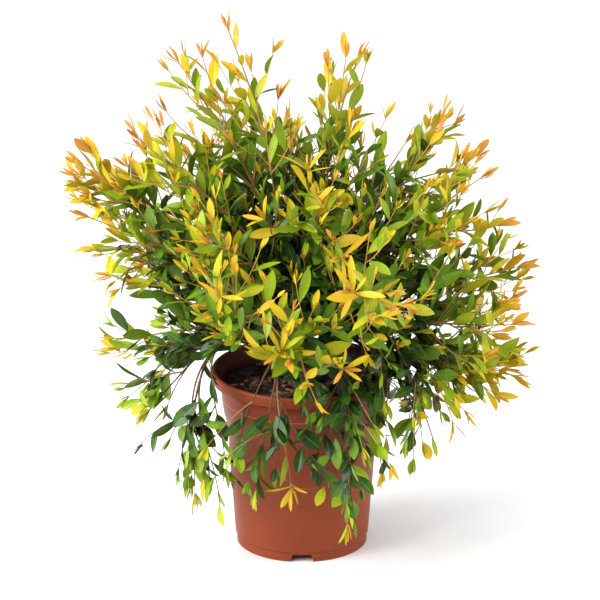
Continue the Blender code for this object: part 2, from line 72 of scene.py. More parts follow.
# Pot: walls from the foot to the rim, as (radius, height).
POT_STEPS = 144
HUB_RADIUS = 0.0120
POT_WALL = 0.0022
FOOT_RADIUS = 0.0724
FOOT_HEIGHT = 0.0100
FOOT_WALL = 0.0036
FOOT_EDGE, FOOT_EDGE_INNER = 0.0008, 0.0006
FLOOR_EDGE = 0.0018
FLOOR_LOW = 0.0095
FLOOR_HIGH = 0.0125
BODY_WALL = ((0.0739, 0.0118), (0.0808, 0.1020), (0.0816, 0.1290), (0.0858, 0.1512))
COLLAR_WALL = ((0.0867, 0.1524), (0.0888, 0.1680), (0.0902, 0.1900))
COLLAR_TOP = 0.0903
# Heights of the pale band on the collar, a painted highlight of a ridge.
RIDGE_HIGHLIGHT_LOW, RIDGE_HIGHLIGHT_HIGH = (0.1694, 0.1699), (0.1706, 0.1711)
RIM_RADIUS = 0.1000
RIM_TOP = 0.2030
RIM_BAND = 0.0126
RIM_INNER = 0.0952
RIM_EDGE, RIM_EDGE_SOFT = 0.0014, 0.0004
NOTCHES = 3
DRAINS = 6
NOTCH_TOP_WIDTH = 0.0210
NOTCH_FOOT_WIDTH = 0.0266
NOTCH_HEIGHT = 0.0085
NOTCH_DEPTH = 0.0220
NOTCH_DROP = 0.0020
NOTCH_EDGE = 0.0012
DRAIN_RADIUS = 0.0055
DRAIN_CIRCLE = 0.0480
DRAIN_DEPTH = 0.0200

# Soil, its lumps, and the bark chips on it: how many, and their least and most sizes.
SOIL_TOP = 0.1850
SOIL_EDGE = 0.1838
SOIL_RADIUS = 0.0872
SOIL_CLEAR = 0.0004
SOIL_STEPS = 120
SOIL_SIDE = 0.0060
LUMP_GRAIN, LUMP_HEIGHT = 0.011, 0.009
CHIPS = 260
CHIP_LONG = (0.005, 0.020)
CHIP_BROAD = (0.003, 0.008)
CHIP_THICK = (0.0012, 0.0034)
CHIP_WORN = (0.55, 1.0)
CHIP_LIE = (-0.001, 0.0015)
CHIP_TILT = 22
CHIP_ROOM = 0.010
BOX_FACES = ((0, 2, 3, 1), (4, 5, 7, 6), (0, 1, 5, 4), (2, 6, 7, 3), (0, 4, 6, 2), (1, 3, 7, 5))

# Trunk, on the soil, and the bark's relief.
TRUNK_HEIGHT = 0.0755
TRUNK_RADIUS = 0.0103
TRUNK_FLARE, FLARE_HEIGHT = 0.0068, 0.011
KNUCKLE_SWELL, KNUCKLE_HEIGHT, KNUCKLE_SPREAD = 0.0019, 0.056, 0.019
TRUNK_DOME = 0.010
BARK_VOXEL = 0.00085
BARK_GRAIN, BARK_RELIEF = 0.0042, 0.0007
TRUNK_LEAN = (-0.0016, 0.0010)

# Leaders: name, heading of the tip in degrees from +X, reach of the tip, height of the tip,
# and how far its young growth has turned from green to gold.
LEADERS = (
    ("crest_tall", 188, 0.076, 0.584, 0.85),
    ("crest_left", 171, 0.130, 0.540, 0.85),
    ("crest_right", 0, 0.057, 0.550, 0.80),
    ("crest_back", 98, 0.098, 0.452, 0.60),
    ("shoulder_left_high", 197, 0.176, 0.478, 0.90),
    ("shoulder_right_high", 8, 0.160, 0.470, 0.90),
    ("brow", -82, 0.110, 0.436, 0.70),
    ("shoulder_left", 179, 0.230, 0.430, 0.90),
    ("shoulder_right", -10, 0.188, 0.428, 0.80),
    ("back_left", 128, 0.188, 0.418, 0.60),
    ("back_right", 52, 0.182, 0.412, 0.60),
    ("brow_left", 234, 0.154, 0.400, 0.65),
    ("side_left", 190, 0.226, 0.388, 0.70),
    ("side_right", 6, 0.230, 0.310, 0.75),
    ("front_right", -62, 0.198, 0.352, 0.90),
    ("front_left", -121, 0.190, 0.330, 0.60),
    ("side_right_front", -16, 0.230, 0.276, 0.85),
    ("low_back_left", 134, 0.210, 0.300, 0.45),
    ("low_back_right", 62, 0.212, 0.290, 0.50),
    ("front_low", -94, 0.186, 0.282, 0.80),
    ("side_left_low", 171, 0.204, 0.226, 0.40),
    ("side_right_low", -1, 0.226, 0.198, 0.70),
    ("weep_left", 197, 0.172, 0.176, 0.30),
    ("weep_back", 100, 0.156, 0.158, 0.25),
    ("weep_right", -36, 0.176, 0.160, 0.55),
    ("weep_front", -103, 0.128, 0.124, 0.15),
    ("weep_front_left", 214, 0.150, 0.102, 0.35),
    ("weep_front_right", -66, 0.131, 0.092, 0.40),
)
TIERS = 4
FORK_LOW = 0.2000
FORK_HIGH = 0.2550
FORK_STAGGER = 0.0020
ROOT_OUT = (0.0090, 0.0082, 0.0080, 0.0078)
SWEEP = 0.70
CLIMB_OVER = 22
CLIMB_LEAST, CLIMB_MOST = 50, 84
LAND_UNDER, LAND_LEAST = 8, -10
CLIMB_WEEP, LAND_WEEP = 44, -88
ARM, ARM_WEEP, HANG_WEEP = 0.36, 0.110, 0.185
WEEP_FROM, WEEP_FULL = 0.205, 0.145
LIMB_ROOT_RADIUS = 0.0029
LIMB_TIP_RADIUS = 0.0009
ENTER, ENTER_WEEP = 0.27, 0.50
CROWN_MIDDLE = np.array((0.0, 0.0, 0.300))
UP = np.array((0.0, 0.0, 1.0))
SPIRE = 0.0070
TIP_ROOM = 0.038
POT_ROOM = 0.0030
SOIL_ROOM = 0.006
GROUND_ROOM = 0.030
BOX_ROOM = 0.004

# Gaps in the growth, each a shaft that slants up to the front: its foot, half width and half
# height. The first opens the front left of the soil, and the second the left of the rim. The
# rest start behind the plant and let the backdrop through the crown and the hanging shoots.
GAPS = (
    (np.array((-0.050, -0.050, 0.192)), 0.044, 0.021),
    (np.array((-0.068, 0.050, 0.185)), 0.031, 0.018),
    (np.array((-0.124, 0.250, 0.096)), 0.024, 0.026),
    (np.array((0.112, 0.250, 0.412)), 0.019, 0.026),
    (np.array((0.208, 0.250, 0.342)), 0.018, 0.022),
    (np.array((-0.209, 0.250, 0.402)), 0.018, 0.016),
    (np.array((-0.151, 0.250, 0.422)), 0.014, 0.020),
    (np.array((0.163, 0.250, 0.159)), 0.007, 0.009),
    (np.array((0.141, 0.250, 0.346)), 0.012, 0.011),
    (np.array((-0.123, 0.250, 0.393)), 0.011, 0.011),
    (np.array((-0.182, 0.250, 0.182)), 0.017, 0.012),
    (np.array((-0.013, 0.250, 0.416)), 0.010, 0.012),
    (np.array((-0.146, 0.250, 0.018)), 0.010, 0.010),
    (np.array((0.106, 0.250, 0.375)), 0.016, 0.014),
    (np.array((0.158, 0.250, 0.369)), 0.012, 0.010),
    (np.array((0.141, 0.250, 0.042)), 0.013, 0.016),
    (np.array((-0.236, 0.250, 0.274)), 0.012, 0.014),
    (np.array((-0.190, 0.250, 0.395)), 0.011, 0.010),
    (np.array((-0.038, 0.250, 0.416)), 0.010, 0.011),
    (np.array((0.185, 0.250, 0.322)), 0.011, 0.011),
    (np.array((0.229, 0.250, 0.161)), 0.010, 0.010),
)
GAP_RUN = np.array((0.0, -0.9426, 0.3338))
GAP_UP = np.array((0.0, 0.3338, 0.9426))

# Sprays that stand out of the mass of the crown: the leader that each grows from, the share
# of its run where it leaves, its tip, how gold that is, its finer shoots and its star of leaves.
SPRAYS = (
    ("crest_left", 0.52, (-0.109, 0.000, 0.566), 0.95, 0, 0),
    ("crest_left", 0.42, (-0.150, 0.010, 0.500), 0.95, 0, 0),
    ("crest_tall", 0.50, (-0.026, 0.020, 0.510), 0.95, 0, 0),
    ("crest_right", 0.55, (0.029, -0.010, 0.556), 0.90, 0, 0),
    ("crest_right", 0.50, (0.048, 0.000, 0.566), 0.85, 1, 0),
    ("crest_right", 0.42, (0.020, -0.014, 0.510), 0.60, 1, 0),
    ("crest_right", 0.38, (0.052, -0.030, 0.496), 0.60, 2, 0),
    ("shoulder_left", 0.62, (-0.230, -0.010, 0.458), 0.90, 1, 0),
    ("shoulder_left_high", 0.55, (-0.184, 0.000, 0.480), 0.90, 1, 0),
    ("shoulder_right_high", 0.60, (0.190, 0.000, 0.450), 0.90, 1, 0),
    ("shoulder_right", 0.60, (0.216, -0.005, 0.372), 0.85, 2, 0),
    ("side_right_front", 0.60, (0.232, -0.030, 0.296), 0.85, 2, 0),
    ("side_right_low", 0.50, (0.214, -0.050, 0.190), 0.70, 2, 0),
    ("side_right_low", 0.45, (0.180, -0.090, 0.184), 0.50, 2, 0),
    ("side_right_low", 0.50, (0.198, -0.040, 0.206), 0.70, 2, 0),
    ("side_right_low", 0.40, (0.168, -0.060, 0.218), 0.50, 2, 0),
    ("shoulder_left", 0.66, (-0.240, 0.000, 0.426), 0.90, 1, 0),
    ("shoulder_left", 0.70, (-0.232, -0.015, 0.410), 0.80, 2, 0),
    ("side_left", 0.62, (-0.208, -0.020, 0.318), 0.60, 2, 0),
    ("side_left", 0.50, (-0.170, -0.030, 0.335), 0.45, 2, 0),
    ("crest_back", 0.60, (-0.010, 0.175, 0.400), 0.60, 2, 0),
    ("crest_back", 0.50, (0.020, 0.190, 0.340), 0.50, 3, 0),
    ("shoulder_right", 0.45, (0.150, -0.055, 0.366), 0.70, 3, 0),
    ("side_right_low", 0.55, (0.228, -0.020, 0.222), 0.80, 2, 0),
    ("weep_right", 0.50, (0.132, -0.100, 0.150), 0.60, 2, 0),
    ("weep_right", 0.45, (0.166, -0.080, 0.166), 0.60, 2, 0),
    ("weep_front_left", 0.50, (-0.118, -0.078, 0.080), 0.55, 1, 0),
    ("weep_front_left", 0.55, (-0.090, -0.104, 0.076), 0.50, 1, 0),
    ("weep_front_left", 0.45, (-0.108, -0.088, 0.104), 0.40, 1, 0),
    ("weep_front_left", 0.40, (-0.083, -0.106, 0.120), 0.20, 2, 0),
    ("weep_front_left", 0.50, (-0.122, -0.075, 0.100), 0.35, 2, 0),
    ("weep_front", 0.45, (-0.070, -0.106, 0.142), 0.10, 2, 0),
    ("weep_left", 0.50, (-0.172, -0.030, 0.168), 0.30, 2, 0),
    ("weep_left", 0.55, (-0.148, -0.050, 0.176), 0.25, 1, 0),
    ("weep_right", 0.40, (0.092, -0.105, 0.156), 0.60, 1, 0),
    ("side_right_low", 0.60, (0.224, -0.010, 0.203), 0.75, 2, 0),
    ("weep_front", 0.60, (-0.050, -0.118, 0.100), 0.20, 1, 0),
    ("weep_front", 0.70, (-0.012, -0.122, 0.104), 0.95, 0, 5),
    ("weep_front_right", 0.55, (0.024, -0.120, 0.104), 0.35, 1, 0),
    ("weep_front_right", 0.50, (0.088, -0.085, 0.112), 0.60, 1, 0),
    ("front_low", 0.70, (-0.023, -0.176, 0.286), 0.85, 0, 6),
    ("front_low", 0.60, (0.046, -0.168, 0.264), 0.92, 1, 5),
    ("front_right", 0.75, (0.055, -0.176, 0.354), 0.85, 0, 6),
    ("brow", 0.65, (0.006, -0.080, 0.462), 0.95, 0, 4),
    ("brow", 0.55, (-0.041, -0.105, 0.412), 0.72, 0, 4),
    ("brow", 0.60, (0.044, -0.140, 0.380), 0.92, 0, 5),
    ("front_left", 0.70, (-0.088, -0.165, 0.347), 0.74, 1, 4),
    ("crest_tall", 0.60, (-0.070, -0.010, 0.540), 0.75, 1, 0),
    ("weep_front_right", 0.60, (0.050, -0.121, 0.060), 0.75, 1, 0),
    ("side_right_low", 0.40, (0.124, -0.100, 0.184), 0.55, 2, 0),
)
SPRAY_RISE, SPRAY_RISE_WEEP = 0.4, -3.0
SPRAY_OUT, SPRAY_BACK = 0.38, 0.34
SPRAY_OLD, SPRAY_YOUNG = (0.12, 0.30), (0.45, 0.96)
# Sprays of weeping leaders take darker tones: painted shade under the crown.
SPRAY_SHADE_OLD_WEEP, SPRAY_SHADE_YOUNG_WEEP = 0.5, 0.75
SPRAY_THICK = 1.15
SPRAY_WOOD = 0.62
SPRAY_BARE = 0.16

# A star's leaves: how young, how long and broad, how wide they spread, and the share of the
# shoot's run where its plain leaves stop.
STAR_AGE = 0.76
STAR_AGES = (-0.20, 0.10)
STAR_LENGTHS, STAR_BROAD = (0.45, 0.85), (0.14, 0.22)
STAR_PITCH, STAR_LOOSE = (25, 80), 30
STAR_ROOTS = (0.93, 0.99)
STAR_LAST = 0.66

# Shoots: side shoots on a leader, and finer ones on each of those.
GOLDEN_TURN = 137.5
Plan = namedtuple("Plan", "count first last long short spread spread_tip radius bare")
SIDE = Plan(8, 0.0, 0.74, 0.135, 0.055, 58, 30, 0.00105, 0.12)
SIDE_UPRIGHT = Plan(6, 0.0, 0.62, 0.130, 0.050, 42, 20, 0.00105, 0.12)
SIDE_LOW = Plan(6, 0.0, 0.70, 0.105, 0.050, 54, 30, 0.00105, 0.12)
SIDE_WEEP = Plan(5, 0.0, 0.76, 0.072, 0.046, 54, 30, 0.00105, 0.12)
INNER = Plan(3, 0.10, 0.95, 0.085, 0.085, 66, 50, 0.00090, 0.20)
FINE = Plan(2, 0.18, 0.58, 0.062, 0.038, 50, 34, 0.00070, 0.16)
INNER_FROM = 0.10
# The inner shoots' leaves take the darkest tones: old leaves, and painted shade deep in the crown.
INNER_AGE_AND_SHADE = (0.02, 0.24)
STEM_END = 1.05
STEM_BARE = 0.30
STEM_THIN, STEM_WOOD = 0.6, 0.6
STEM_OLD, STEM_YOUNG = (0.14, 0.30), (0.50, 0.98)
WEEP_SHADE = 0.36
UPRIGHT_FROM, UPRIGHT_FULL = 50, 75
LOW_FROM, LOW_FULL = 0.330, 0.210
SHOOT_LIFT = 0.26
SHOOT_LIFTS = (0.5, 1.4)
SHOOT_LENGTHS, SHOOT_SHORTER = (0.66, 1.16), 0.07
SHOOT_SHIFT, SHOOT_LOOSE, SHOOT_SWAY = 0.02, 9, 0.10
SHOOT_AHEAD = 0.15
SHOOT_OLD, SHOOT_YOUNG, SHOOT_AGES = 0.6, 0.74, 0.10
SHOOT_RINGS = 7
TIP_RADIUS = 0.00040
TRIES = 8
VIGOUR_SIDE, VIGOUR_SPRAY, VIGOUR_INNER, VIGOUR_FINE = 0.96, 0.92, 0.90, 0.90
VIGOUR_ROOT = 0.86

# Where the crown opens. With height above OPEN_FROM side shoots drop out, and leaves stand
# wider apart and are smaller. Leaves also stand wider apart at the front and where it weeps.
OPEN_FROM, OPEN_OVER = 0.430, 0.100
OPEN_SHOOTS, OPEN_LEAVES, OPEN_SIZE = 0.50, 0.35, 0.10
FRONT_FROM, FRONT_OVER = 0.050, 0.080
WEEP_LEAVES = 0.22

# Leaves. Those of a shoot are largest at its middle, and those deep in the crown take darker tones, as
# painted shade.
LEAF_EVERY = 0.0120
LEAF_LONG = 0.049
LEAF_BROAD, LEAF_BROAD_WEEP = 0.30, 0.43
LEAF_WEEP = 0.79
LEAF_THICK = 0.00042
LEAF_LAST = 0.97
LEAF_LEAST = 3
LEAF_TRIES = 3
LEAF_LENGTHS, LEAF_SHORTER = (0.80, 1.14), 0.15
LEAF_BREADTHS = (0.84, 1.12)
LEAF_SMALL, LEAF_SMALL_TIP, LEAF_SWELL = 0.62, 0.55, 1.25
LEAF_PITCH, LEAF_PITCH_TIP, LEAF_LOOSE = 62, 26, 12
LEAF_LIFT, LEAF_LIFT_WEEP = 0.16, -0.25
LEAF_PROBES = (0.4, 0.7, 1.0)
LEAF_AGES, AGE_SHADED, LEAF_BEND = 0.045, 0.40, 1.5
FOLD, ARCH, TWIST = (0.05, 0.45), (-0.02, 0.22), (-0.5, 0.5)
FACE_UP, FACE_OUT, FACE_LOOSE = 0.55, 0.90, 0.75

# A tuft's leaves, at the tip of every shoot.
TUFT_LEAVES = 3
TUFT_LENGTHS, TUFT_BROAD = (0.30, 0.52), 0.20
TUFT_PITCH, TUFT_STEP = (6, 24), 0.002
TUFT_AGES = (0.02, 0.14)

# A leaf's mesh: rows as (share of its length, half width), columns across a row, and the
# slots of its faces. The tip's own colour starts at LEAF_TIP_ROW.
LEAF_ROWS = ((0.0, 0.045), (0.07, 0.085), (0.17, 0.235), (0.31, 0.400), (0.48, 0.490), (0.65, 0.490),
             (0.80, 0.375), (0.92, 0.190))
LEAF_TIP_ROW = 4
LEAF_COLUMNS = (-1.0, -0.055, 0.055, 1.0)
BLADE, MIDRIB, UNDERSIDE, LEAF_TIP = range(4)

# Leaf tones from the oldest to the youngest, the darkest also standing for painted shade in the crown:
# name, how young it ends, the blade's colour, and the record's slot.
TONES = (
    ("shade", 0.10, (0.007, 0.026, 0.002), "foliage_deep"),
    ("deep", 0.21, (0.016, 0.056, 0.006), "foliage_deep"),
    ("green", 0.32, (0.074, 0.160, 0.005), "foliage_fresh"),
    ("fresh", 0.44, (0.165, 0.265, 0.006), "foliage_fresh"),
    ("lime", 0.57, (0.285, 0.330, 0.006), "foliage_fresh"),
    ("yellow", 0.74, (0.485, 0.358, 0.008), "foliage_gold"),
    ("gold", 0.90, (0.530, 0.298, 0.012), "foliage_gold"),
    ("apricot", 1.04, (0.550, 0.235, 0.028), "foliage_gold"),
    ("copper", 9.00, (0.430, 0.180, 0.042), "foliage_gold"),
)
MOST_LEAVES = 1500
RIB_TINT, RIB_SHARE = (0.50, 0.50, 0.12), 0.22
UNDER_TINT, UNDER_SHARE = (0.30, 0.38, 0.12), 0.10
NEXT_SHARE = 0.35
BLADE_ROUGH, BLADE_ROUGH_YOUNG = 0.30, 0.46
LEAF_SHINE = 0.36

# Wood of the stems and twigs: name, how young it starts and ends, and its colour.
WOODS = (
    ("old", -9.0, 0.36, (0.085, 0.042, 0.022)),
    ("tan", 0.36, 0.58, (0.290, 0.160, 0.062)),
    ("new", 0.58, 9.0, (0.480, 0.260, 0.060)),
)
STEM_SIDES, TWIG_SIDES = 6, 5

# Studio: soft boxes as (name, place, size, power), a wide sun overhead, and the backdrop.
SOFT_BOXES = (
    ("key", (-2.6, -1.3, 1.8), (2.2, 2.2), 212),
    ("rim", (2.5, -0.4, 1.2), (1.0, 1.5), 72),
    ("front", (-1.2, -3.0, 2.2), (1.0, 1.0), 36),
)
LIGHTS_AIM = (0.0, 0.0, 0.30)
SUN_POWER, SUN_WIDTH = 1.8, 60
SUN_TILT, SUN_ROLL = -12, -10
WORLD_STRENGTH = 0.34
FLOOR_SIDE = 30.0


# ---------------------------------------------------------------- small maths


def clamp(value, low=0.0, high=1.0):
    return max(low, min(high, value))


def mix(first, second, share):
    return first + (second - first) * share


def heading(turn, climb):
    """The unit vector at this compass turn and climb, in degrees."""
    turn, climb = math.radians(turn), math.radians(climb)
    flat = math.cos(climb)
    return np.array((flat * math.cos(turn), flat * math.sin(turn), math.sin(climb)))


def unit(vector):
    return vector / np.linalg.norm(vector, axis=-1, keepdims=True)


def turned_about(vector, axis, degrees):
    """The vector turned about the axis, at right angles to it, by this angle."""
    angle = math.radians(degrees)
    return vector * math.cos(angle) + np.cross(axis, vector) * math.sin(angle)


def square_to(run):
    """A unit vector square to the run."""
    spare = UP if abs(run[2]) < 0.9 else np.array((1.0, 0.0, 0.0))
    return unit(np.cross(run, spare))


def openness(height):
    """How far the crown opens at this height, from 0 to 1."""
    return clamp((height - OPEN_FROM) / OPEN_OVER)


def along(points, spot):
    """The point and the direction at this share of a path."""
    place = clamp(spot) * (len(points) - 1)
    low = min(int(place), len(points) - 2)
    return mix(points[low], points[low + 1], place - low), unit(points[low + 1] - points[low])


# ---------------------------------------------------------------- materials


class Tone:
    """A value in a material's nodes that plain arithmetic works on."""

    def __init__(self, paint, socket):
        self.paint, self.socket = paint, socket

    def maths(self, operation, first, second):
        return self.paint.node("Math", {"operation": operation}, {0: first, 1: second})

    def __add__(self, other):
        return self.maths("ADD", self, other)

    def __sub__(self, other):
        return self.maths("SUBTRACT", self, other)

    def __rsub__(self, other):
        return self.maths("SUBTRACT", other, self)

    def __mul__(self, other):
        return self.maths("MULTIPLY", self, other)

    __radd__, __rmul__ = __add__, __mul__

    def between(self, low, high):
        """0 below low, 1 above high, smooth in between."""
        settings = {"interpolation_type": "SMOOTHSTEP"}
        sockets = {"Value": self, "From Min": low, "From Max": high}
        return self.paint.node("MapRange", settings, sockets)

    def blend(self, first, second):
        """The first colour where this is 0 and the second where it is 1."""
        colours = {0: self, 6: first, 7: second}
        return self.paint.node("Mix", {"data_type": "RGBA"}, colours, output=2)


class Paint:
    """One material: a Principled shader, and nodes that feed it."""

    def __init__(self, name, colour, roughness):
        self.material = bpy.data.materials.new(name)
        self.material.use_nodes = True
        self.material.diffuse_color = (*colour, 1.0)
        self.tree = self.material.node_tree
        self.shader = self.tree.nodes["Principled BSDF"]
        self.set("Base Color", colour)
        self.set("Roughness", roughness)

    def join(self, socket, value):
        if isinstance(value, Tone):
            self.tree.links.new(value.socket, socket)
        elif isinstance(value, tuple) and socket.type == "RGBA":
            socket.default_value = (*value, 1.0)
        else:
            socket.default_value = value

    def node(self, kind, settings=None, sockets=None, output=0):
        """Adds a node, sets it, then its sockets, and returns one of its outputs."""
        made = self.tree.nodes.new("ShaderNode" + kind)
        for name, value in (settings or {}).items():
            setattr(made, name, value)
        for name, value in (sockets or {}).items():
            self.join(made.inputs[name], value)
        return Tone(self, made.outputs[output])

    def set(self, name, value):
        self.join(self.shader.inputs[name], value)

    def place(self, stretch=(1.0, 1.0, 1.0)):
        """Object coordinates in metres, stretched."""
        where = self.node("TexCoord", output=3)
        return self.node("Mapping", sockets={"Vector": where, "Scale": stretch})

    def noise(self, scale, detail=3.0, stretch=(1.0, 1.0, 1.0), roughness=0.5):
        sockets = {"Vector": self.place(stretch), "Scale": scale}
        sockets.update({"Detail": detail, "Roughness": roughness})
        return self.node("TexNoise", sockets=sockets)

    def bump(self, height, strength, distance):
        sockets = {"Height": height, "Strength": strength, "Distance": distance}
        self.set("Normal", self.node("Bump", sockets=sockets))


def leaf_paint(name, colour, roughness, gloss=0.5):
    paint = Paint(name, colour, roughness)
    paint.set("Specular IOR Level", gloss * LEAF_SHINE)
    return paint.material


def terracotta_paint():
    """Moulded plastic, matt, with faint mottling, wiping marks and a pale line on the collar that is
    painted as the highlight of a ridge.
    """
    paint = Paint("terracotta_plastic", (0.300, 0.066, 0.026), 0.45)
    paint.set("Specular IOR Level", 0.16)
    cloud = paint.noise(14.0, 4.0).between(0.30, 0.70)
    colour = cloud.blend((0.174, 0.0315, 0.0090), (0.198, 0.0375, 0.0118))
    scuff = paint.noise(60.0, 5.0, (1.0, 1.0, 9.0), 0.6).between(0.60, 0.78)
    colour = (scuff * 0.30).blend(colour, (0.270, 0.070, 0.030))
    grit = paint.noise(420.0, 2.0)
    height = paint.node("SeparateXYZ", sockets={"Vector": paint.place()}, output=2)
    # A pale band on the collar: the painted highlight of a ridge.
    ridge_highlight = height.between(*RIDGE_HIGHLIGHT_LOW) - height.between(*RIDGE_HIGHLIGHT_HIGH)
    colour = (ridge_highlight * 0.6).blend(colour, (0.400, 0.150, 0.085))
    paint.set("Base Color", colour)
    paint.set("Roughness", 0.38 + 0.14 * cloud + 0.08 * scuff)
    paint.bump(grit + 0.5 * scuff, 0.10, 0.0008)
    return paint.material


def soil_paint():
    paint = Paint("potting_soil", (0.022, 0.013, 0.009), 0.95)
    crumb = paint.noise(90.0, 6.0, roughness=0.65)
    fibre = paint.noise(46.0, 4.0, (3.0, 1.0, 1.0), 0.6).between(0.52, 0.70)
    colour = crumb.between(0.35, 0.70).blend((0.009, 0.0055, 0.004), (0.042, 0.024, 0.015))
    paint.set("Base Color", (fibre * 0.35).blend(colour, (0.085, 0.048, 0.026)))
    paint.bump(crumb, 0.9, 0.004)
    return paint.material


def bark_paint():
    """Grey-brown bark with darker cracks along the limb."""
    paint = Paint("bark", (0.150, 0.085, 0.048), 0.85)
    crack = paint.noise(260.0, 5.0, (1.0, 1.0, 0.22), 0.6)
    patch = paint.noise(60.0, 3.0).between(0.35, 0.65)
    colour = patch.blend((0.115, 0.060, 0.034), (0.210, 0.130, 0.078))
    paint.set("Base Color", crack.between(0.36, 0.56).blend((0.040, 0.020, 0.012), colour))
    paint.set("Roughness", 0.70 + 0.25 * crack)
    paint.bump(crack, 0.7, 0.0012)
    return paint.material


def chip_paint():
    paint = Paint("bark_chips", (0.110, 0.052, 0.026), 0.88)
    grain = paint.noise(170.0, 4.0, (1.0, 0.4, 1.0), 0.6)
    tint = paint.noise(26.0, 2.0).between(0.35, 0.65)
    colour = tint.blend((0.060, 0.030, 0.016), (0.420, 0.230, 0.120))
    paint.set("Base Color", grain.between(0.30, 0.60).blend((0.022, 0.011, 0.007), colour))
    paint.bump(grain, 0.6, 0.001)
    return paint.material


def floor_paint():
    paint = Paint("pale_floor", (0.79, 0.79, 0.79), 0.6)
    soft = paint.noise(3.0, 2.0)
    paint.set("Base Color", soft.blend((0.785, 0.785, 0.787), (0.800, 0.800, 0.800)))
    return paint.material


# ---------------------------------------------------------------- modelling helpers


def only(obj):
    bpy.ops.object.select_all(action="DESELECT")
    obj.select_set(True)
    bpy.context.view_layer.objects.active = obj


def mesh_piece(name, points, faces, looks, slots=None, smooth=None):
    """A finished piece from arrays of points and faces, for what repeats many times."""
    mesh = bpy.data.meshes.new(name)
    mesh.from_pydata(points.tolist(), [], faces)
    for look in looks:
        mesh.materials.append(look)
    if slots is not None:
        mesh.polygons.foreach_set("material_index", slots)
    if smooth:
        mesh.shade_smooth()
        mesh.set_sharp_from_angle(angle=math.radians(smooth))
    mesh.update()
    piece = bpy.data.objects.new(name, mesh)
    bpy.context.scene.collection.objects.link(piece)
    return piece


def dress(piece, slot, *nodes):
    """The piece rides on the pot's body and stands for these solids."""
    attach(piece, BODY)
    if nodes:
        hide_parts(*nodes)


def lathe(name, profile, steps, look, smooth=30):
    """A solid turned about Z: a ring is drawn out through the profile, closed at both ends."""
    bpy.ops.object.select_all(action="DESELECT")
    (radius, height), *rest = profile
    place = (0, 0, height)
    bpy.ops.mesh.primitive_circle_add(vertices=steps, radius=radius, fill_type="NGON", location=place)
    piece = bpy.context.object
    piece.name = piece.data.name = name
    bpy.ops.object.transform_apply(location=True)
    bpy.ops.object.mode_set(mode="EDIT")
    bpy.ops.mesh.select_all(action="SELECT")
    for wide, high in rest:
        bpy.ops.mesh.extrude_region_move(TRANSFORM_OT_translate={"value": (0, 0, high - height)})
        bpy.ops.transform.resize(value=(wide / radius, wide / radius, 1), center_override=(0, 0, high))
        radius, height = wide, high
    bpy.ops.mesh.select_all(action="SELECT")
    bpy.ops.mesh.normals_make_consistent(inside=False)
    bpy.ops.object.mode_set(mode="OBJECT")
    piece.data.materials.append(look)
    piece.data.shade_smooth()
    piece.data.set_sharp_from_angle(angle=math.radians(smooth))
    return piece


def apply(piece, kind, **settings):
    """Adds a modifier, sets it and applies it."""
    only(piece)
    made = piece.modifiers.new(kind.lower(), kind)
    for name, value in settings.items():
        setattr(made, name, value)
    bpy.ops.object.modifier_apply(modifier=made.name)


def cut(piece, cutter):
    apply(piece, "BOOLEAN", operation="DIFFERENCE", object=cutter, solver="EXACT")
    bpy.data.objects.remove(cutter, do_unlink=True)


# ---------------------------------------------------------------- pot and soil


def pot_profile():
    """From the middle of the underside, out and up the wall, over the rim and down inside."""
    band_foot = RIM_TOP - RIM_BAND
    ring = FOOT_RADIUS - FOOT_WALL
    under = [(HUB_RADIUS, FLOOR_LOW), (ring - FLOOR_EDGE, FLOOR_LOW),
             (ring - FOOT_EDGE, FLOOR_LOW - FOOT_EDGE), (ring, FOOT_EDGE_INNER),
             (ring + FOOT_EDGE_INNER, 0.0), (FOOT_RADIUS - FOOT_EDGE, 0.0), (FOOT_RADIUS, FOOT_EDGE)]
    outside = [(FOOT_RADIUS, FOOT_HEIGHT), *BODY_WALL, *COLLAR_WALL, (COLLAR_TOP, band_foot)]
    band = [(RIM_RADIUS - RIM_EDGE, band_foot), (RIM_RADIUS - RIM_EDGE_SOFT, band_foot + RIM_EDGE_SOFT),
            (RIM_RADIUS, band_foot + RIM_EDGE)]
    middle, half = (RIM_RADIUS + RIM_INNER) / 2, (RIM_RADIUS - RIM_INNER) / 2
    for step in range(0, 181, 20):
        angle = math.radians(step)
        band.append((middle + half * math.cos(angle), RIM_TOP - half + half * math.sin(angle)))
    walls = [COLLAR_WALL[2], COLLAR_WALL[1], BODY_WALL[3], BODY_WALL[2], BODY_WALL[0]]
    inside = [(radius - POT_WALL, height) for radius, height in walls]
    inside[-1] = (inside[-1][0], FLOOR_HIGH)
    return under + outside + band + inside + [(HUB_RADIUS, FLOOR_HIGH)]


def make_notch(turn):
    """A wedge that crosses the foot ring, widest at the ground, turned to its place."""
    bpy.ops.object.select_all(action="DESELECT")
    bpy.ops.mesh.primitive_cube_add(size=1)
    notch = bpy.context.object
    notch.scale = (NOTCH_DEPTH, NOTCH_TOP_WIDTH, NOTCH_HEIGHT + NOTCH_DROP)
    notch.location = (FOOT_RADIUS, 0, (NOTCH_HEIGHT - NOTCH_DROP) / 2)
    bpy.ops.object.transform_apply(location=True, scale=True)
    bpy.ops.object.mode_set(mode="EDIT")
    bpy.ops.mesh.select_all(action="DESELECT")
    bpy.ops.object.mode_set(mode="OBJECT")
    for corner in notch.data.vertices:
        corner.select = corner.co.z < 0
    bpy.ops.object.mode_set(mode="EDIT")
    wider = NOTCH_FOOT_WIDTH / NOTCH_TOP_WIDTH
    bpy.ops.transform.resize(value=(1, wider, 1), center_override=(FOOT_RADIUS, 0, 0))
    bpy.ops.object.mode_set(mode="OBJECT")
    apply(notch, "BEVEL", width=NOTCH_EDGE, segments=3)
    notch.rotation_euler[2] = turn
    return notch


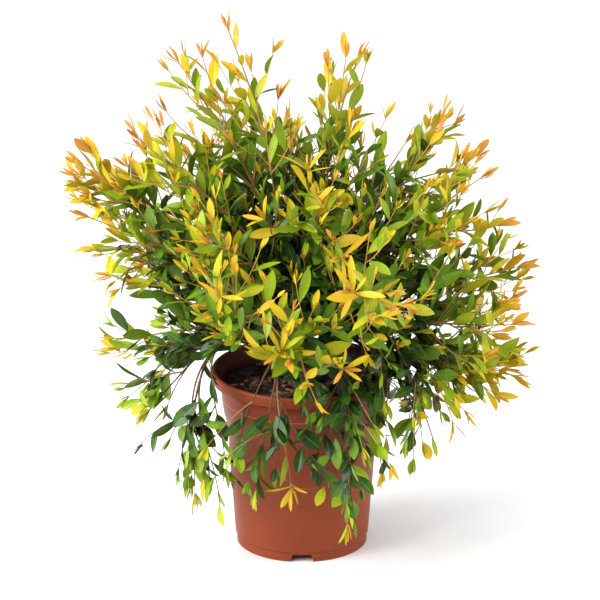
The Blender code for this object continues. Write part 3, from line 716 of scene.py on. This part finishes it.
def make_pot():
    pot = lathe("flower_pot", pot_profile(), POT_STEPS, terracotta_paint())
    for index in range(NOTCHES):
        cut(pot, make_notch(math.radians(360 / NOTCHES * index - 90)))
    for index in range(DRAINS):
        turn = math.radians(360 / DRAINS * index - 60)
        bpy.ops.object.select_all(action="DESELECT")
        spot = (DRAIN_CIRCLE * math.cos(turn), DRAIN_CIRCLE * math.sin(turn), FLOOR_LOW)
        bpy.ops.mesh.primitive_cylinder_add(
            vertices=32, radius=DRAIN_RADIUS, depth=DRAIN_DEPTH, location=spot)
        cut(pot, bpy.context.object)
    pot.data.shade_smooth()
    pot.data.set_sharp_from_angle(angle=math.radians(30))
    dress(pot, "terracotta", "pot")


def make_soil(rng):
    """Lumpy soil that fills the pot, with bark chips lying on it."""
    wall = [(radius - POT_WALL - SOIL_CLEAR, height) for radius, height in BODY_WALL]
    foot = FLOOR_HIGH + SOIL_CLEAR
    profile = [(0.010, foot), (wall[0][0], foot), wall[2], wall[3],
               (SOIL_RADIUS - 0.0008, SOIL_EDGE - SOIL_SIDE), (SOIL_RADIUS, SOIL_EDGE)]
    rings = np.linspace(SOIL_RADIUS, 0.004, 34)[1:]
    profile += [(radius, SOIL_EDGE + 0.0010 * math.sin(radius * 90)) for radius in rings]
    soil = lathe("soil_surface", profile, SOIL_STEPS, soil_paint(), smooth=60)
    lumps = bpy.data.textures.new("lumps", "CLOUDS")
    lumps.noise_scale, lumps.noise_depth = LUMP_GRAIN, 4
    top = soil.vertex_groups.new(name="top")
    lumpy = [v.index for v in soil.data.vertices
             if v.co.z > SOIL_EDGE - 0.003 and math.hypot(v.co.x, v.co.y) < SOIL_RADIUS - 0.002]
    top.add(lumpy, 1.0, "REPLACE")
    apply(soil, "DISPLACE", texture=lumps, texture_coords="LOCAL", strength=LUMP_HEIGHT, mid_level=0.55,
          direction="Z", vertex_group="top")
    soil.vertex_groups.clear()
    dress(soil, "potting_soil", "soil")

    points, faces = [], []
    for _ in range(CHIPS):
        reach = (SOIL_RADIUS - CHIP_ROOM) * math.sqrt(rng.uniform(0.02, 1.0))
        turn = rng.uniform(0, 360)
        size = np.array([rng.uniform(*sizes) for sizes in (CHIP_LONG, CHIP_BROAD, CHIP_THICK)])
        run = unit(heading(rng.uniform(0, 360), rng.uniform(-CHIP_TILT, CHIP_TILT)))
        side = unit(np.cross(UP, run))
        axes = np.array((run, side, np.cross(run, side)))
        middle = reach * heading(turn, 0) + UP * (SOIL_TOP + rng.uniform(*CHIP_LIE))
        corners = np.array([(x, y, z) for z in (-1, 1) for y in (-1, 1) for x in (-1, 1)], float)
        corners *= rng.uniform(*CHIP_WORN, (8, 3)) * size / 2
        start = len(points)
        points += (middle + corners @ axes).tolist()
        faces += [tuple(start + corner for corner in face) for face in BOX_FACES]
    chips = mesh_piece("soil_chips", np.array(points), faces, [chip_paint()])
    dress(chips, "potting_soil")


# ---------------------------------------------------------------- leaders, as in the solids


def weeping(leader):
    return clamp((WEEP_FROM - leader[3]) / (WEEP_FROM - WEEP_FULL))


def leader_curve(leader, tier, place, first):
    """Four Bezier points: out of the knuckle at the first heading, in to the tip."""
    _, turn, reach, top, _ = leader
    fork = mix(FORK_HIGH, FORK_LOW, tier / (TIERS - 1)) + FORK_STAGGER * (1 if place % 2 else -1)
    weep = weeping(leader)
    chord = math.degrees(math.atan2(top - fork, reach))
    length = math.hypot(top - fork, reach)
    climb = mix(clamp(chord + CLIMB_OVER, CLIMB_LEAST, CLIMB_MOST), CLIMB_WEEP, weep)
    land = mix(max(chord - LAND_UNDER, LAND_LEAST), LAND_WEEP, weep)
    root = np.array((0, 0, fork)) + ROOT_OUT[tier] * heading(first, 0)
    tip = np.array((0, 0, top)) + reach * heading(turn, 0)
    out = root + mix(ARM * length, ARM_WEEP, weep) * heading(first, climb)
    back = tip - mix(ARM * length, HANG_WEEP, weep) * heading(turn, land)
    return np.array((root, out, back, tip))


def leader_curves():
    """Every leader's curve: tiers by the height of the tips, spread round the trunk within a tier."""
    highest_first = sorted(LEADERS, key=lambda leader: -leader[3])
    count = len(LEADERS) // TIERS
    curves = {}
    for tier in range(TIERS):
        members = highest_first[tier * count:(tier + 1) * count]
        members.sort(key=lambda leader: leader[1] % 360)
        drifts = [math.radians(leader[1] - 360 / count * i) for i, leader in enumerate(members)]
        start = math.degrees(math.atan2(sum(map(math.sin, drifts)), sum(map(math.cos, drifts))))
        for place, leader in enumerate(members):
            off = (start + 360 / count * place - leader[1] + 180) % 360 - 180
            curves[leader[0]] = leader_curve(leader, tier, place, leader[1] + SWEEP * off)
    return curves


def on_curve(curve, share):
    """Points on a leader at these shares of its run from 0 to 1."""
    share = np.atleast_1d(share)[:, None]
    left = 1 - share
    return (left ** 3 * curve[0] + 3 * share * left ** 2 * curve[1]
            + 3 * share ** 2 * left * curve[2] + share ** 3 * curve[3])


def limb_radius(share):
    return mix(LIMB_ROOT_RADIUS, LIMB_TIP_RADIUS, np.asarray(share) ** 0.8)


def pot_outer(height):
    stations = ((FOOT_RADIUS, FOOT_HEIGHT),) + BODY_WALL + COLLAR_WALL
    return np.interp(height, [station[1] for station in stations], [station[0] for station in stations])


def in_reach(points, curve):
    """Whether growth here stays in its leader's share of the crown."""
    out = points - CROWN_MIDDLE
    span = np.linalg.norm(out, axis=1)
    tip = curve[3] - CROWN_MIDDLE
    reach = np.linalg.norm(tip)
    off = np.degrees(np.arccos(np.clip(out @ (tip / reach) / span, -1, 1)))
    spire = SPIRE * (1 + max(0.0, tip[2] / reach))
    return bool((span <= reach * (1 - spire * off) + TIP_ROOM).all())


def has_room(points, curve=None):
    """Whether growth here stays in reach, out of the gaps, and clear of the pot and the ground."""
    if curve is not None and not in_reach(points, curve):
        return False
    if (points < np.array(cad_low) - BOX_ROOM).any() or (points > np.array(cad_high) + BOX_ROOM).any():
        return False
    for foot, wide, high in GAPS:
        out = points - foot
        if ((np.hypot(out[:, 0] / wide, out @ GAP_UP / high) < 1) & (out @ GAP_RUN > 0)).any():
            return False
    radius, height = np.hypot(points[:, 0], points[:, 1]), points[:, 2]
    beside = (height < RIM_TOP - RIM_BAND - POT_ROOM) & (radius > pot_outer(height) + POT_ROOM)
    outside = radius > RIM_RADIUS + POT_ROOM
    over = height > RIM_TOP + POT_ROOM
    within = (radius < RIM_INNER - SOIL_ROOM) & (height > SOIL_TOP + SOIL_ROOM)
    return bool((beside | outside | over | within).all() and height.min() > GROUND_ROOM)


# ---------------------------------------------------------------- trunk and boughs


def trunk_radius(height):
    flare = math.exp(-height / FLARE_HEIGHT)
    swell = math.exp(-(((height - KNUCKLE_HEIGHT) / KNUCKLE_SPREAD) ** 2))
    return TRUNK_RADIUS + TRUNK_FLARE * flare + KNUCKLE_SWELL * swell


def make_limbs(curves, enters):
    """Trunk and boughs grown into one skin, roughened with the bark's relief."""
    shape = bpy.data.curves.new("limbs", "CURVE")
    shape.dimensions, shape.bevel_depth, shape.bevel_resolution = "3D", 1.0, 3
    shape.use_fill_caps = True
    heights = np.linspace(0, TRUNK_HEIGHT, 26)
    lean = (heights / TRUNK_HEIGHT)[:, None] ** 2 * np.array((*TRUNK_LEAN, 0.0))
    trunk = lean + np.outer(SOIL_TOP + heights, UP)
    dome = np.sqrt(np.clip((TRUNK_HEIGHT - heights) / TRUNK_DOME, 0.05, 1))
    paths = [(trunk, [trunk_radius(height) for height in heights] * dome)]
    for name, curve in curves.items():
        shares = np.linspace(0, enters[name] + 0.02, 22)
        paths.append((on_curve(curve, shares), limb_radius(shares)))
    for points, radii in paths:
        spline = shape.splines.new("POLY")
        spline.points.add(len(points) - 1)
        for knot, point, radius in zip(spline.points, points, radii):
            knot.co = (*point, 1.0)
            knot.radius = radius
    limbs = bpy.data.objects.new("limbs", shape)
    bpy.context.scene.collection.objects.link(limbs)
    only(limbs)
    bpy.ops.object.convert(target="MESH")
    limbs = bpy.context.object
    apply(limbs, "REMESH", mode="VOXEL", voxel_size=BARK_VOXEL)
    relief = bpy.data.textures.new("bark_relief", "STUCCI")
    relief.noise_scale, relief.turbulence = BARK_GRAIN, 3.0
    apply(limbs, "DISPLACE", texture=relief, texture_coords="LOCAL", strength=BARK_RELIEF, mid_level=0.5)
    limbs.data.materials.clear()
    limbs.data.materials.append(bark_paint())
    limbs.data.shade_smooth()
    dress(limbs, "bark", "trunk", *["bough_" + name for name in curves])


# ---------------------------------------------------------------- shoots and leaves


Leaf = namedtuple("Leaf", "root run face length width fold arch twist young")


class Growth:
    """Everything that grows on from the boughs: shoots as tapering paths, and leaves."""

    def __init__(self):
        self.rng = None  # set for each leader and each spray
        self.shoots = []  # (points, radius at the root, radius at the tip, how young)
        self.leaves = []

    def leaf(self, root, run, face, length, width, young):
        """One leaf, with its own fold, arch and twist."""
        shape = [self.rng.uniform(*span) for span in (FOLD, ARCH, TWIST)]
        self.leaves.append(Leaf(root, unit(run), face, length, width, *shape, young))

    def leafy(self, points, curve, age, weep, vigour, first, last=LEAF_LAST):
        """Leaves round a shoot, from its first leafy share to its last, and the tuft at its tip."""
        rng = self.rng
        length = np.linalg.norm(np.diff(points, axis=0), axis=1).sum()
        high = openness(points[-1][2])
        front = clamp((-points[-1][1] - FRONT_FROM) / FRONT_OVER) * (1 - weep)
        spacing = LEAF_EVERY * (1 + OPEN_LEAVES * max(high, front) + WEEP_LEAVES * weep)
        count = max(LEAF_LEAST, int(length * (last - first) / spacing))
        roll = rng.uniform(0, 360)
        lift = mix(LEAF_LIFT, LEAF_LIFT_WEEP, weep)
        for number in range(count):
            spot = mix(first, last, number / (count - 1))
            root, run = along(points, spot)
            side = square_to(run)
            # Leaves nearer the crown's middle take older, darker tones: painted shade.
            sun = 1.0
            if curve is not None:
                reach = np.linalg.norm(curve[3] - CROWN_MIDDLE)
                sun = clamp(np.linalg.norm(root - CROWN_MIDDLE) / reach) ** LEAF_BEND
            young = (mix(age[0], age[1], spot ** LEAF_BEND) * mix(AGE_SHADED, 1.0, sun)
                     + rng.normal(0, LEAF_AGES))
            swell = math.sin(math.pi * min(1.0, spot * LEAF_SWELL) / LEAF_SWELL)
            size = (vigour * (1 - OPEN_SIZE * openness(root[2]))
                    * mix(mix(LEAF_SMALL, 1.0, swell), LEAF_SMALL_TIP, spot ** 6))
            for attempt in range(LEAF_TRIES):
                roll += GOLDEN_TURN
                pitch = mix(LEAF_PITCH, LEAF_PITCH_TIP, spot ** LEAF_BEND)
                pitch = math.radians(pitch + rng.uniform(-LEAF_LOOSE, LEAF_LOOSE))
                out = turned_about(side, run, roll + rng.uniform(-LEAF_LOOSE, LEAF_LOOSE))
                ahead = unit(run * math.cos(pitch) + out * math.sin(pitch) + lift * UP)
                long = (LEAF_LONG * size * mix(1.0, LEAF_WEEP, weep)
                        * rng.uniform(*LEAF_LENGTHS) * (1 - LEAF_SHORTER * attempt))
                broad = mix(LEAF_BROAD, LEAF_BROAD_WEEP, weep) * rng.uniform(*LEAF_BREADTHS)
                face = FACE_UP * UP + FACE_OUT * unit(root - CROWN_MIDDLE)
                face = face + FACE_LOOSE * rng.uniform(-1, 1, 3)
                face = unit(face - ahead * face.dot(ahead))
                probe = np.array([root + ahead * long * share for share in LEAF_PROBES])
                if has_room(probe, curve):
                    self.leaf(root, ahead, face, long, long * broad, young)
                    break
        self.tuft(points, age[1], vigour)

    def star(self, points, count, vigour):
        """A wheel of narrow gold leaves, spread wide round a tip."""
        rng = self.rng
        root, run = along(points, 0.98)
        side = square_to(run)
        roll = rng.uniform(0, 360)
        for _ in range(count):
            roll += 360 / count + rng.uniform(-STAR_LOOSE, STAR_LOOSE)
            pitch = math.radians(rng.uniform(*STAR_PITCH))
            out = turned_about(side, run, roll)
            ahead = unit(run * math.cos(pitch) + out * math.sin(pitch))
            long = LEAF_LONG * vigour * rng.uniform(*STAR_LENGTHS)
            face = unit(run - ahead * run.dot(ahead))
            root, _ = along(points, rng.uniform(*STAR_ROOTS))
            width = long * rng.uniform(*STAR_BROAD)
            self.leaf(root, ahead, face, long, width, STAR_AGE + rng.uniform(*STAR_AGES))

    def spray(self, curve, share, tip, gold, finer, star, weep):
        """A shoot from a leader out to its own tip."""
        root, run = along(on_curve(curve, np.linspace(0, 1, 81)), share)
        tip = np.array(tip)
        length = np.linalg.norm(tip - root)
        end = unit((tip - root) / length + UP * mix(SPRAY_RISE, SPRAY_RISE_WEEP, weep))
        bend = np.array((root, root + SPRAY_OUT * length * run, tip - SPRAY_BACK * length * end, tip))
        path = on_curve(bend, np.linspace(0, 1, 18))
        # On weeping leaders the tones are darkened: painted shade under the crown.
        age = (mix(*SPRAY_OLD, gold) * mix(1, SPRAY_SHADE_OLD_WEEP, weep),
               mix(*SPRAY_YOUNG, gold) * mix(1, SPRAY_SHADE_YOUNG_WEEP, weep))
        self.shoots.append((path, SIDE.radius * SPRAY_THICK, TIP_RADIUS, age[1] * SPRAY_WOOD))
        self.leafy(path, None, age, weep, 1.0, SPRAY_BARE, STAR_LAST if star else LEAF_LAST)
        if star:
            self.star(path, star, 1.0)
        if finer:
            self.side_shoots(path, None, FINE._replace(count=finer), age, weep, VIGOUR_SPRAY)

    def tuft(self, points, young, vigour):
        """The narrow new leaves that stand together at a tip."""
        rng = self.rng
        root, run = along(points, 0.99)
        side = square_to(run)
        roll = rng.uniform(0, 360)
        for number in range(TUFT_LEAVES):
            roll += GOLDEN_TURN
            pitch = math.radians(rng.uniform(*TUFT_PITCH))
            out = turned_about(side, run, roll)
            ahead = unit(run * math.cos(pitch) + out * math.sin(pitch))
            long = LEAF_LONG * vigour * rng.uniform(*TUFT_LENGTHS)
            face = unit(out - ahead * out.dot(ahead))
            place = root - run * TUFT_STEP * number
            self.leaf(place, ahead, face, long, long * TUFT_BROAD, young + rng.uniform(*TUFT_AGES))

    def side_shoots(self, points, curve, plan, age, weep, vigour, finer=None):
        """Side shoots of a path, each with leaves, and finer shoots of its own."""
        rng = self.rng
        roll = rng.uniform(0, 360)
        for number in range(plan.count):
            spot = mix(plan.first, plan.last, number / max(1, plan.count - 1))
            spot += rng.uniform(-SHOOT_SHIFT, SHOOT_SHIFT)
            root, run = along(points, spot)
            side = square_to(run)
            for attempt in range(TRIES):
                roll += GOLDEN_TURN
                lean = mix(plan.spread, plan.spread_tip, spot)
                lean = math.radians(lean + rng.uniform(-SHOOT_LOOSE, SHOOT_LOOSE))
                length = (mix(plan.long, plan.short, spot) * rng.uniform(*SHOOT_LENGTHS)
                          * (1 - SHOOT_SHORTER * attempt))
                ahead = run * math.cos(lean) + turned_about(side, run, roll) * math.sin(lean)
                rise = UP * mix(SHOOT_LIFT, -SHOOT_LIFT, weep) * rng.uniform(*SHOOT_LIFTS)
                steps = np.linspace(0, 1, SHOOT_RINGS)[:, None]
                sway = rise + SHOOT_AHEAD * run + rng.uniform(-SHOOT_SWAY, SHOOT_SWAY, 3)
                sway = steps ** 2 * sway
                path = root + length * (steps * ahead + sway)
                if has_room(path[2:], curve):
                    break
            else:
                continue
            if rng.random() < OPEN_SHOOTS * openness(path[-1][2]):
                continue
            own = (mix(SHOOT_OLD * age[0], SHOOT_OLD * age[1], spot),
                   mix(SHOOT_YOUNG, 1.0, spot) * age[1] + rng.normal(0, SHOOT_AGES))
            self.shoots.append((path, plan.radius, TIP_RADIUS, own[1]))
            self.leafy(path, curve, own, weep, vigour * mix(VIGOUR_ROOT, 1.0, spot), plan.bare)
            if finer:
                self.side_shoots(path, curve, finer, own, weep, vigour * VIGOUR_FINE)


def grow(curves, enters):
    """All the growth: every leader's own, and then the sprays."""
    growth = Growth()
    for number, leader in enumerate(LEADERS):
        growth.rng = np.random.default_rng((SEED, number))
        name, _, _, top, gold = leader
        curve, weep = curves[name], weeping(leader)
        stem = on_curve(curve, np.linspace(enters[name], mix(STEM_END, 1.0, weep), 26))
        shade = mix(1.0, WEEP_SHADE, weep)
        age = (mix(*STEM_OLD, gold) * shade, mix(*STEM_YOUNG, gold) * shade)
        thick, thin = float(limb_radius(enters[name])), LIMB_TIP_RADIUS * STEM_THIN
        growth.shoots.append((stem, thick, thin, age[1] * STEM_WOOD))
        growth.leafy(stem, curve, age, weep, 1.0, STEM_BARE)
        rise = curve[3] - curve[0]
        chord = math.degrees(math.atan2(rise[2], math.hypot(rise[0], rise[1])))
        upright = clamp((chord - UPRIGHT_FROM) / (UPRIGHT_FULL - UPRIGHT_FROM))
        low = clamp((LOW_FROM - top) / (LOW_FROM - LOW_FULL))
        side = SIDE
        for other, share in ((SIDE_UPRIGHT, upright), (SIDE_LOW, low), (SIDE_WEEP, weep)):
            side = Plan(*(mix(first, second, share) for first, second in zip(side, other)))
        side = side._replace(count=round(side.count))
        growth.side_shoots(stem, curve, side, age, weep, VIGOUR_SIDE, FINE)
        # Inner shoots on the bough, with old leaves that are also darkened as painted shade.
        bough = on_curve(curve, np.linspace(INNER_FROM, enters[name], 9))
        growth.side_shoots(bough, curve, INNER, INNER_AGE_AND_SHADE, weep, VIGOUR_INNER, FINE)
    falls = {leader[0]: weeping(leader) for leader in LEADERS}
    for number, (name, share, tip, gold, finer, star) in enumerate(SPRAYS):
        growth.rng = np.random.default_rng((SEED, len(LEADERS) + number))
        growth.spray(curves[name], share, tip, gold, finer, star, falls[name])
    return growth


def leaf_template():
    """One leaf: points as (share along, across, below), faces, and each face's slot."""
    points, faces, slots = [], [], []
    wide = len(LEAF_COLUMNS)
    step = wide + 1
    for share, half in LEAF_ROWS:
        points += [(share, column * half, 0.0) for column in LEAF_COLUMNS]
        points.append((share, 0.0, 1.0))
    tip = len(points)
    points.append((1.0, 0.0, 0.0))
    for row in range(len(LEAF_ROWS)):
        left, under, right = row * step, row * step + wide, row * step + wide - 1
        last = row == len(LEAF_ROWS) - 1
        for column in range(wide - 1):
            a = left + column
            faces.append((a, tip, a + 1) if last else (a, a + step, a + step + 1, a + 1))
            blade = BLADE if row < LEAF_TIP_ROW else LEAF_TIP
            slots.append(MIDRIB if column == wide // 2 - 1 else blade)
        for a, b in ((left, under), (under, right)):
            faces.append((a, b, tip) if last else (a, b, b + step, a + step))
            slots.append(UNDERSIDE)
    faces.append((*range(wide), wide))
    slots.append(UNDERSIDE)
    return np.array(points), faces, slots


def leaf_points(leaves):
    """Every point of these leaves, folded, arched and twisted."""
    pattern, _, _ = leaf_template()
    share, across, below = pattern[None, :, 0], pattern[None, :, 1], pattern[None, :, 2]
    values = (np.array(value)[:, None] for value in zip(*leaves))
    root, run, face, length, width, fold, arch, twist, _ = values
    level = np.cross(face, run)
    out = across * width
    lift = np.abs(out) * fold - below * LEAF_THICK
    turn = twist * share
    aside = out * np.cos(turn) - lift * np.sin(turn)
    above = out * np.sin(turn) + lift * np.cos(turn) - arch * length * share ** 2
    ahead = length * share * (1 - 0.5 * arch ** 2 * share)
    return root + ahead[..., None] * run + aside[..., None] * level + above[..., None] * face


def make_leaves(growth, nodes):
    """The leaves of each tone, in pieces of no more than MOST_LEAVES leaves."""
    pattern, faces, slots = leaf_template()
    young = np.array([leaf.young for leaf in growth.leaves])
    tones = np.searchsorted([tone[1] for tone in TONES], young)
    for number, (name, _, colour, slot) in enumerate(TONES):
        after = TONES[min(number + 1, len(TONES) - 1)][2]
        outer = tuple(mix(value, other, NEXT_SHARE) for value, other in zip(colour, after))
        rib = tuple(mix(value, other, RIB_SHARE) for value, other in zip(colour, RIB_TINT))
        under = tuple(mix(value, other, UNDER_SHARE) for value, other in zip(colour, UNDER_TINT))
        rough = mix(BLADE_ROUGH, BLADE_ROUGH_YOUNG, number / (len(TONES) - 1))
        looks = [leaf_paint(name + "_leaf", colour, rough), leaf_paint(name + "_midrib", rib, 0.45),
                 leaf_paint(name + "_underside", under, 0.60, gloss=0.35),
                 leaf_paint(name + "_leaf_tip", outer, rough)]
        chosen = np.nonzero(tones == number)[0]
        for batch, start in enumerate(range(0, len(chosen), MOST_LEAVES)):
            leaves = [growth.leaves[index] for index in chosen[start:start + MOST_LEAVES]]
            every = [tuple(corner + len(pattern) * copy for corner in face)
                     for copy in range(len(leaves)) for face in faces]
            label = f"leaves_{name}_{batch + 1}"
            corners = leaf_points(leaves).reshape(-1, 3)
            piece = mesh_piece(label, corners, every, looks, slots * len(leaves), smooth=60)
            dress(piece, slot, *nodes)


def tube_points(path, radii, sides):
    """Rings round a path, carried along it without twisting."""
    runs = unit(np.gradient(path, axis=0))
    side = square_to(runs[0])
    rings = []
    for point, run, radius in zip(path, runs, radii):
        side = unit(side - run * side.dot(run))
        rings += [point + radius * turned_about(side, run, 360 * k / sides) for k in range(sides)]
    return rings


def make_stems(growth, nodes):
    """Stems and twigs: brown old wood, tan growth of the year, and greenish gold new tips."""
    for name, low, high, colour in WOODS:
        points, faces = [], []
        for path, root, tip, young in growth.shoots:
            if not low <= young < high:
                continue
            sides = STEM_SIDES if root > SIDE.radius else TWIG_SIDES
            start = len(points)
            points += tube_points(path, np.linspace(root, tip, len(path)), sides)
            for ring in range(len(path) - 1):
                for k in range(sides):
                    a, b = start + ring * sides + k, start + ring * sides + (k + 1) % sides
                    faces.append((a, b, b + sides, a + sides))
            faces.append(tuple(range(start, start + sides))[::-1])
            faces.append(tuple(range(len(points) - sides, len(points))))
        look = leaf_paint(name + "_wood", colour, 0.62, gloss=0.4)
        piece = mesh_piece("stems_" + name, np.array(points), faces, [look], smooth=50)
        dress(piece, "bark", *nodes)


# ---------------------------------------------------------------- studio


def soft_box(name, place, size, power):
    lamp = bpy.data.lights.new(name, "AREA")
    lamp.shape, lamp.size, lamp.size_y = "RECTANGLE", *size
    lamp.energy = power
    light = bpy.data.objects.new(name, lamp)
    light.location = place
    light.rotation_euler = (Vector(LIGHTS_AIM) - Vector(place)).to_track_quat("-Z", "Y").to_euler()
    bpy.context.scene.collection.objects.link(light)


def make_studio():
    bpy.ops.object.select_all(action="DESELECT")
    bpy.ops.mesh.primitive_plane_add(size=FLOOR_SIDE)
    floor = bpy.context.object
    floor.name = "studio_floor"
    floor.data.materials.append(floor_paint())
    world = bpy.data.worlds.new("studio")
    bpy.context.scene.world = world
    world.use_nodes = True
    backdrop = world.node_tree.nodes["Background"]
    backdrop.inputs["Color"].default_value = (1.0, 1.0, 1.0, 1.0)
    backdrop.inputs["Strength"].default_value = WORLD_STRENGTH
    for box in SOFT_BOXES:
        soft_box(*box)
    sun = bpy.data.lights.new("overhead", "SUN")
    sun.energy, sun.angle = SUN_POWER, math.radians(SUN_WIDTH)
    light = bpy.data.objects.new("overhead", sun)
    light.rotation_euler = (math.radians(SUN_TILT), math.radians(SUN_ROLL), 0.0)
    bpy.context.scene.collection.objects.link(light)
    scene = bpy.context.scene
    scene.view_settings.view_transform = "Standard"
    scene.view_settings.look = "None"
    scene.view_settings.exposure = 0.0


def make_camera():
    lens = bpy.data.cameras.new("camera")
    lens.sensor_width, lens.lens = SENSOR, LENS
    lens.clip_start, lens.clip_end = 0.1, 100.0
    camera = bpy.data.objects.new("camera", lens)
    back = Vector((0.0, -math.cos(CAMERA_LIFT), math.sin(CAMERA_LIFT)))
    camera.location = CAMERA_AIM + CAMERA_FAR * back
    camera.rotation_euler = (-back).to_track_quat("-Z", "Y").to_euler()
    bpy.context.scene.collection.objects.link(camera)
    bpy.context.scene.camera = camera


make_camera()
make_studio()
make_pot()
make_soil(np.random.default_rng(SOIL_SEED))
curves = leader_curves()
enters = {leader[0]: mix(ENTER, ENTER_WEEP, weeping(leader)) for leader in LEADERS}
make_limbs(curves, enters)
growth = grow(curves, enters)
masses = ["foliage_" + leader[0] for leader in LEADERS]
make_leaves(growth, masses)
make_stems(growth, masses)
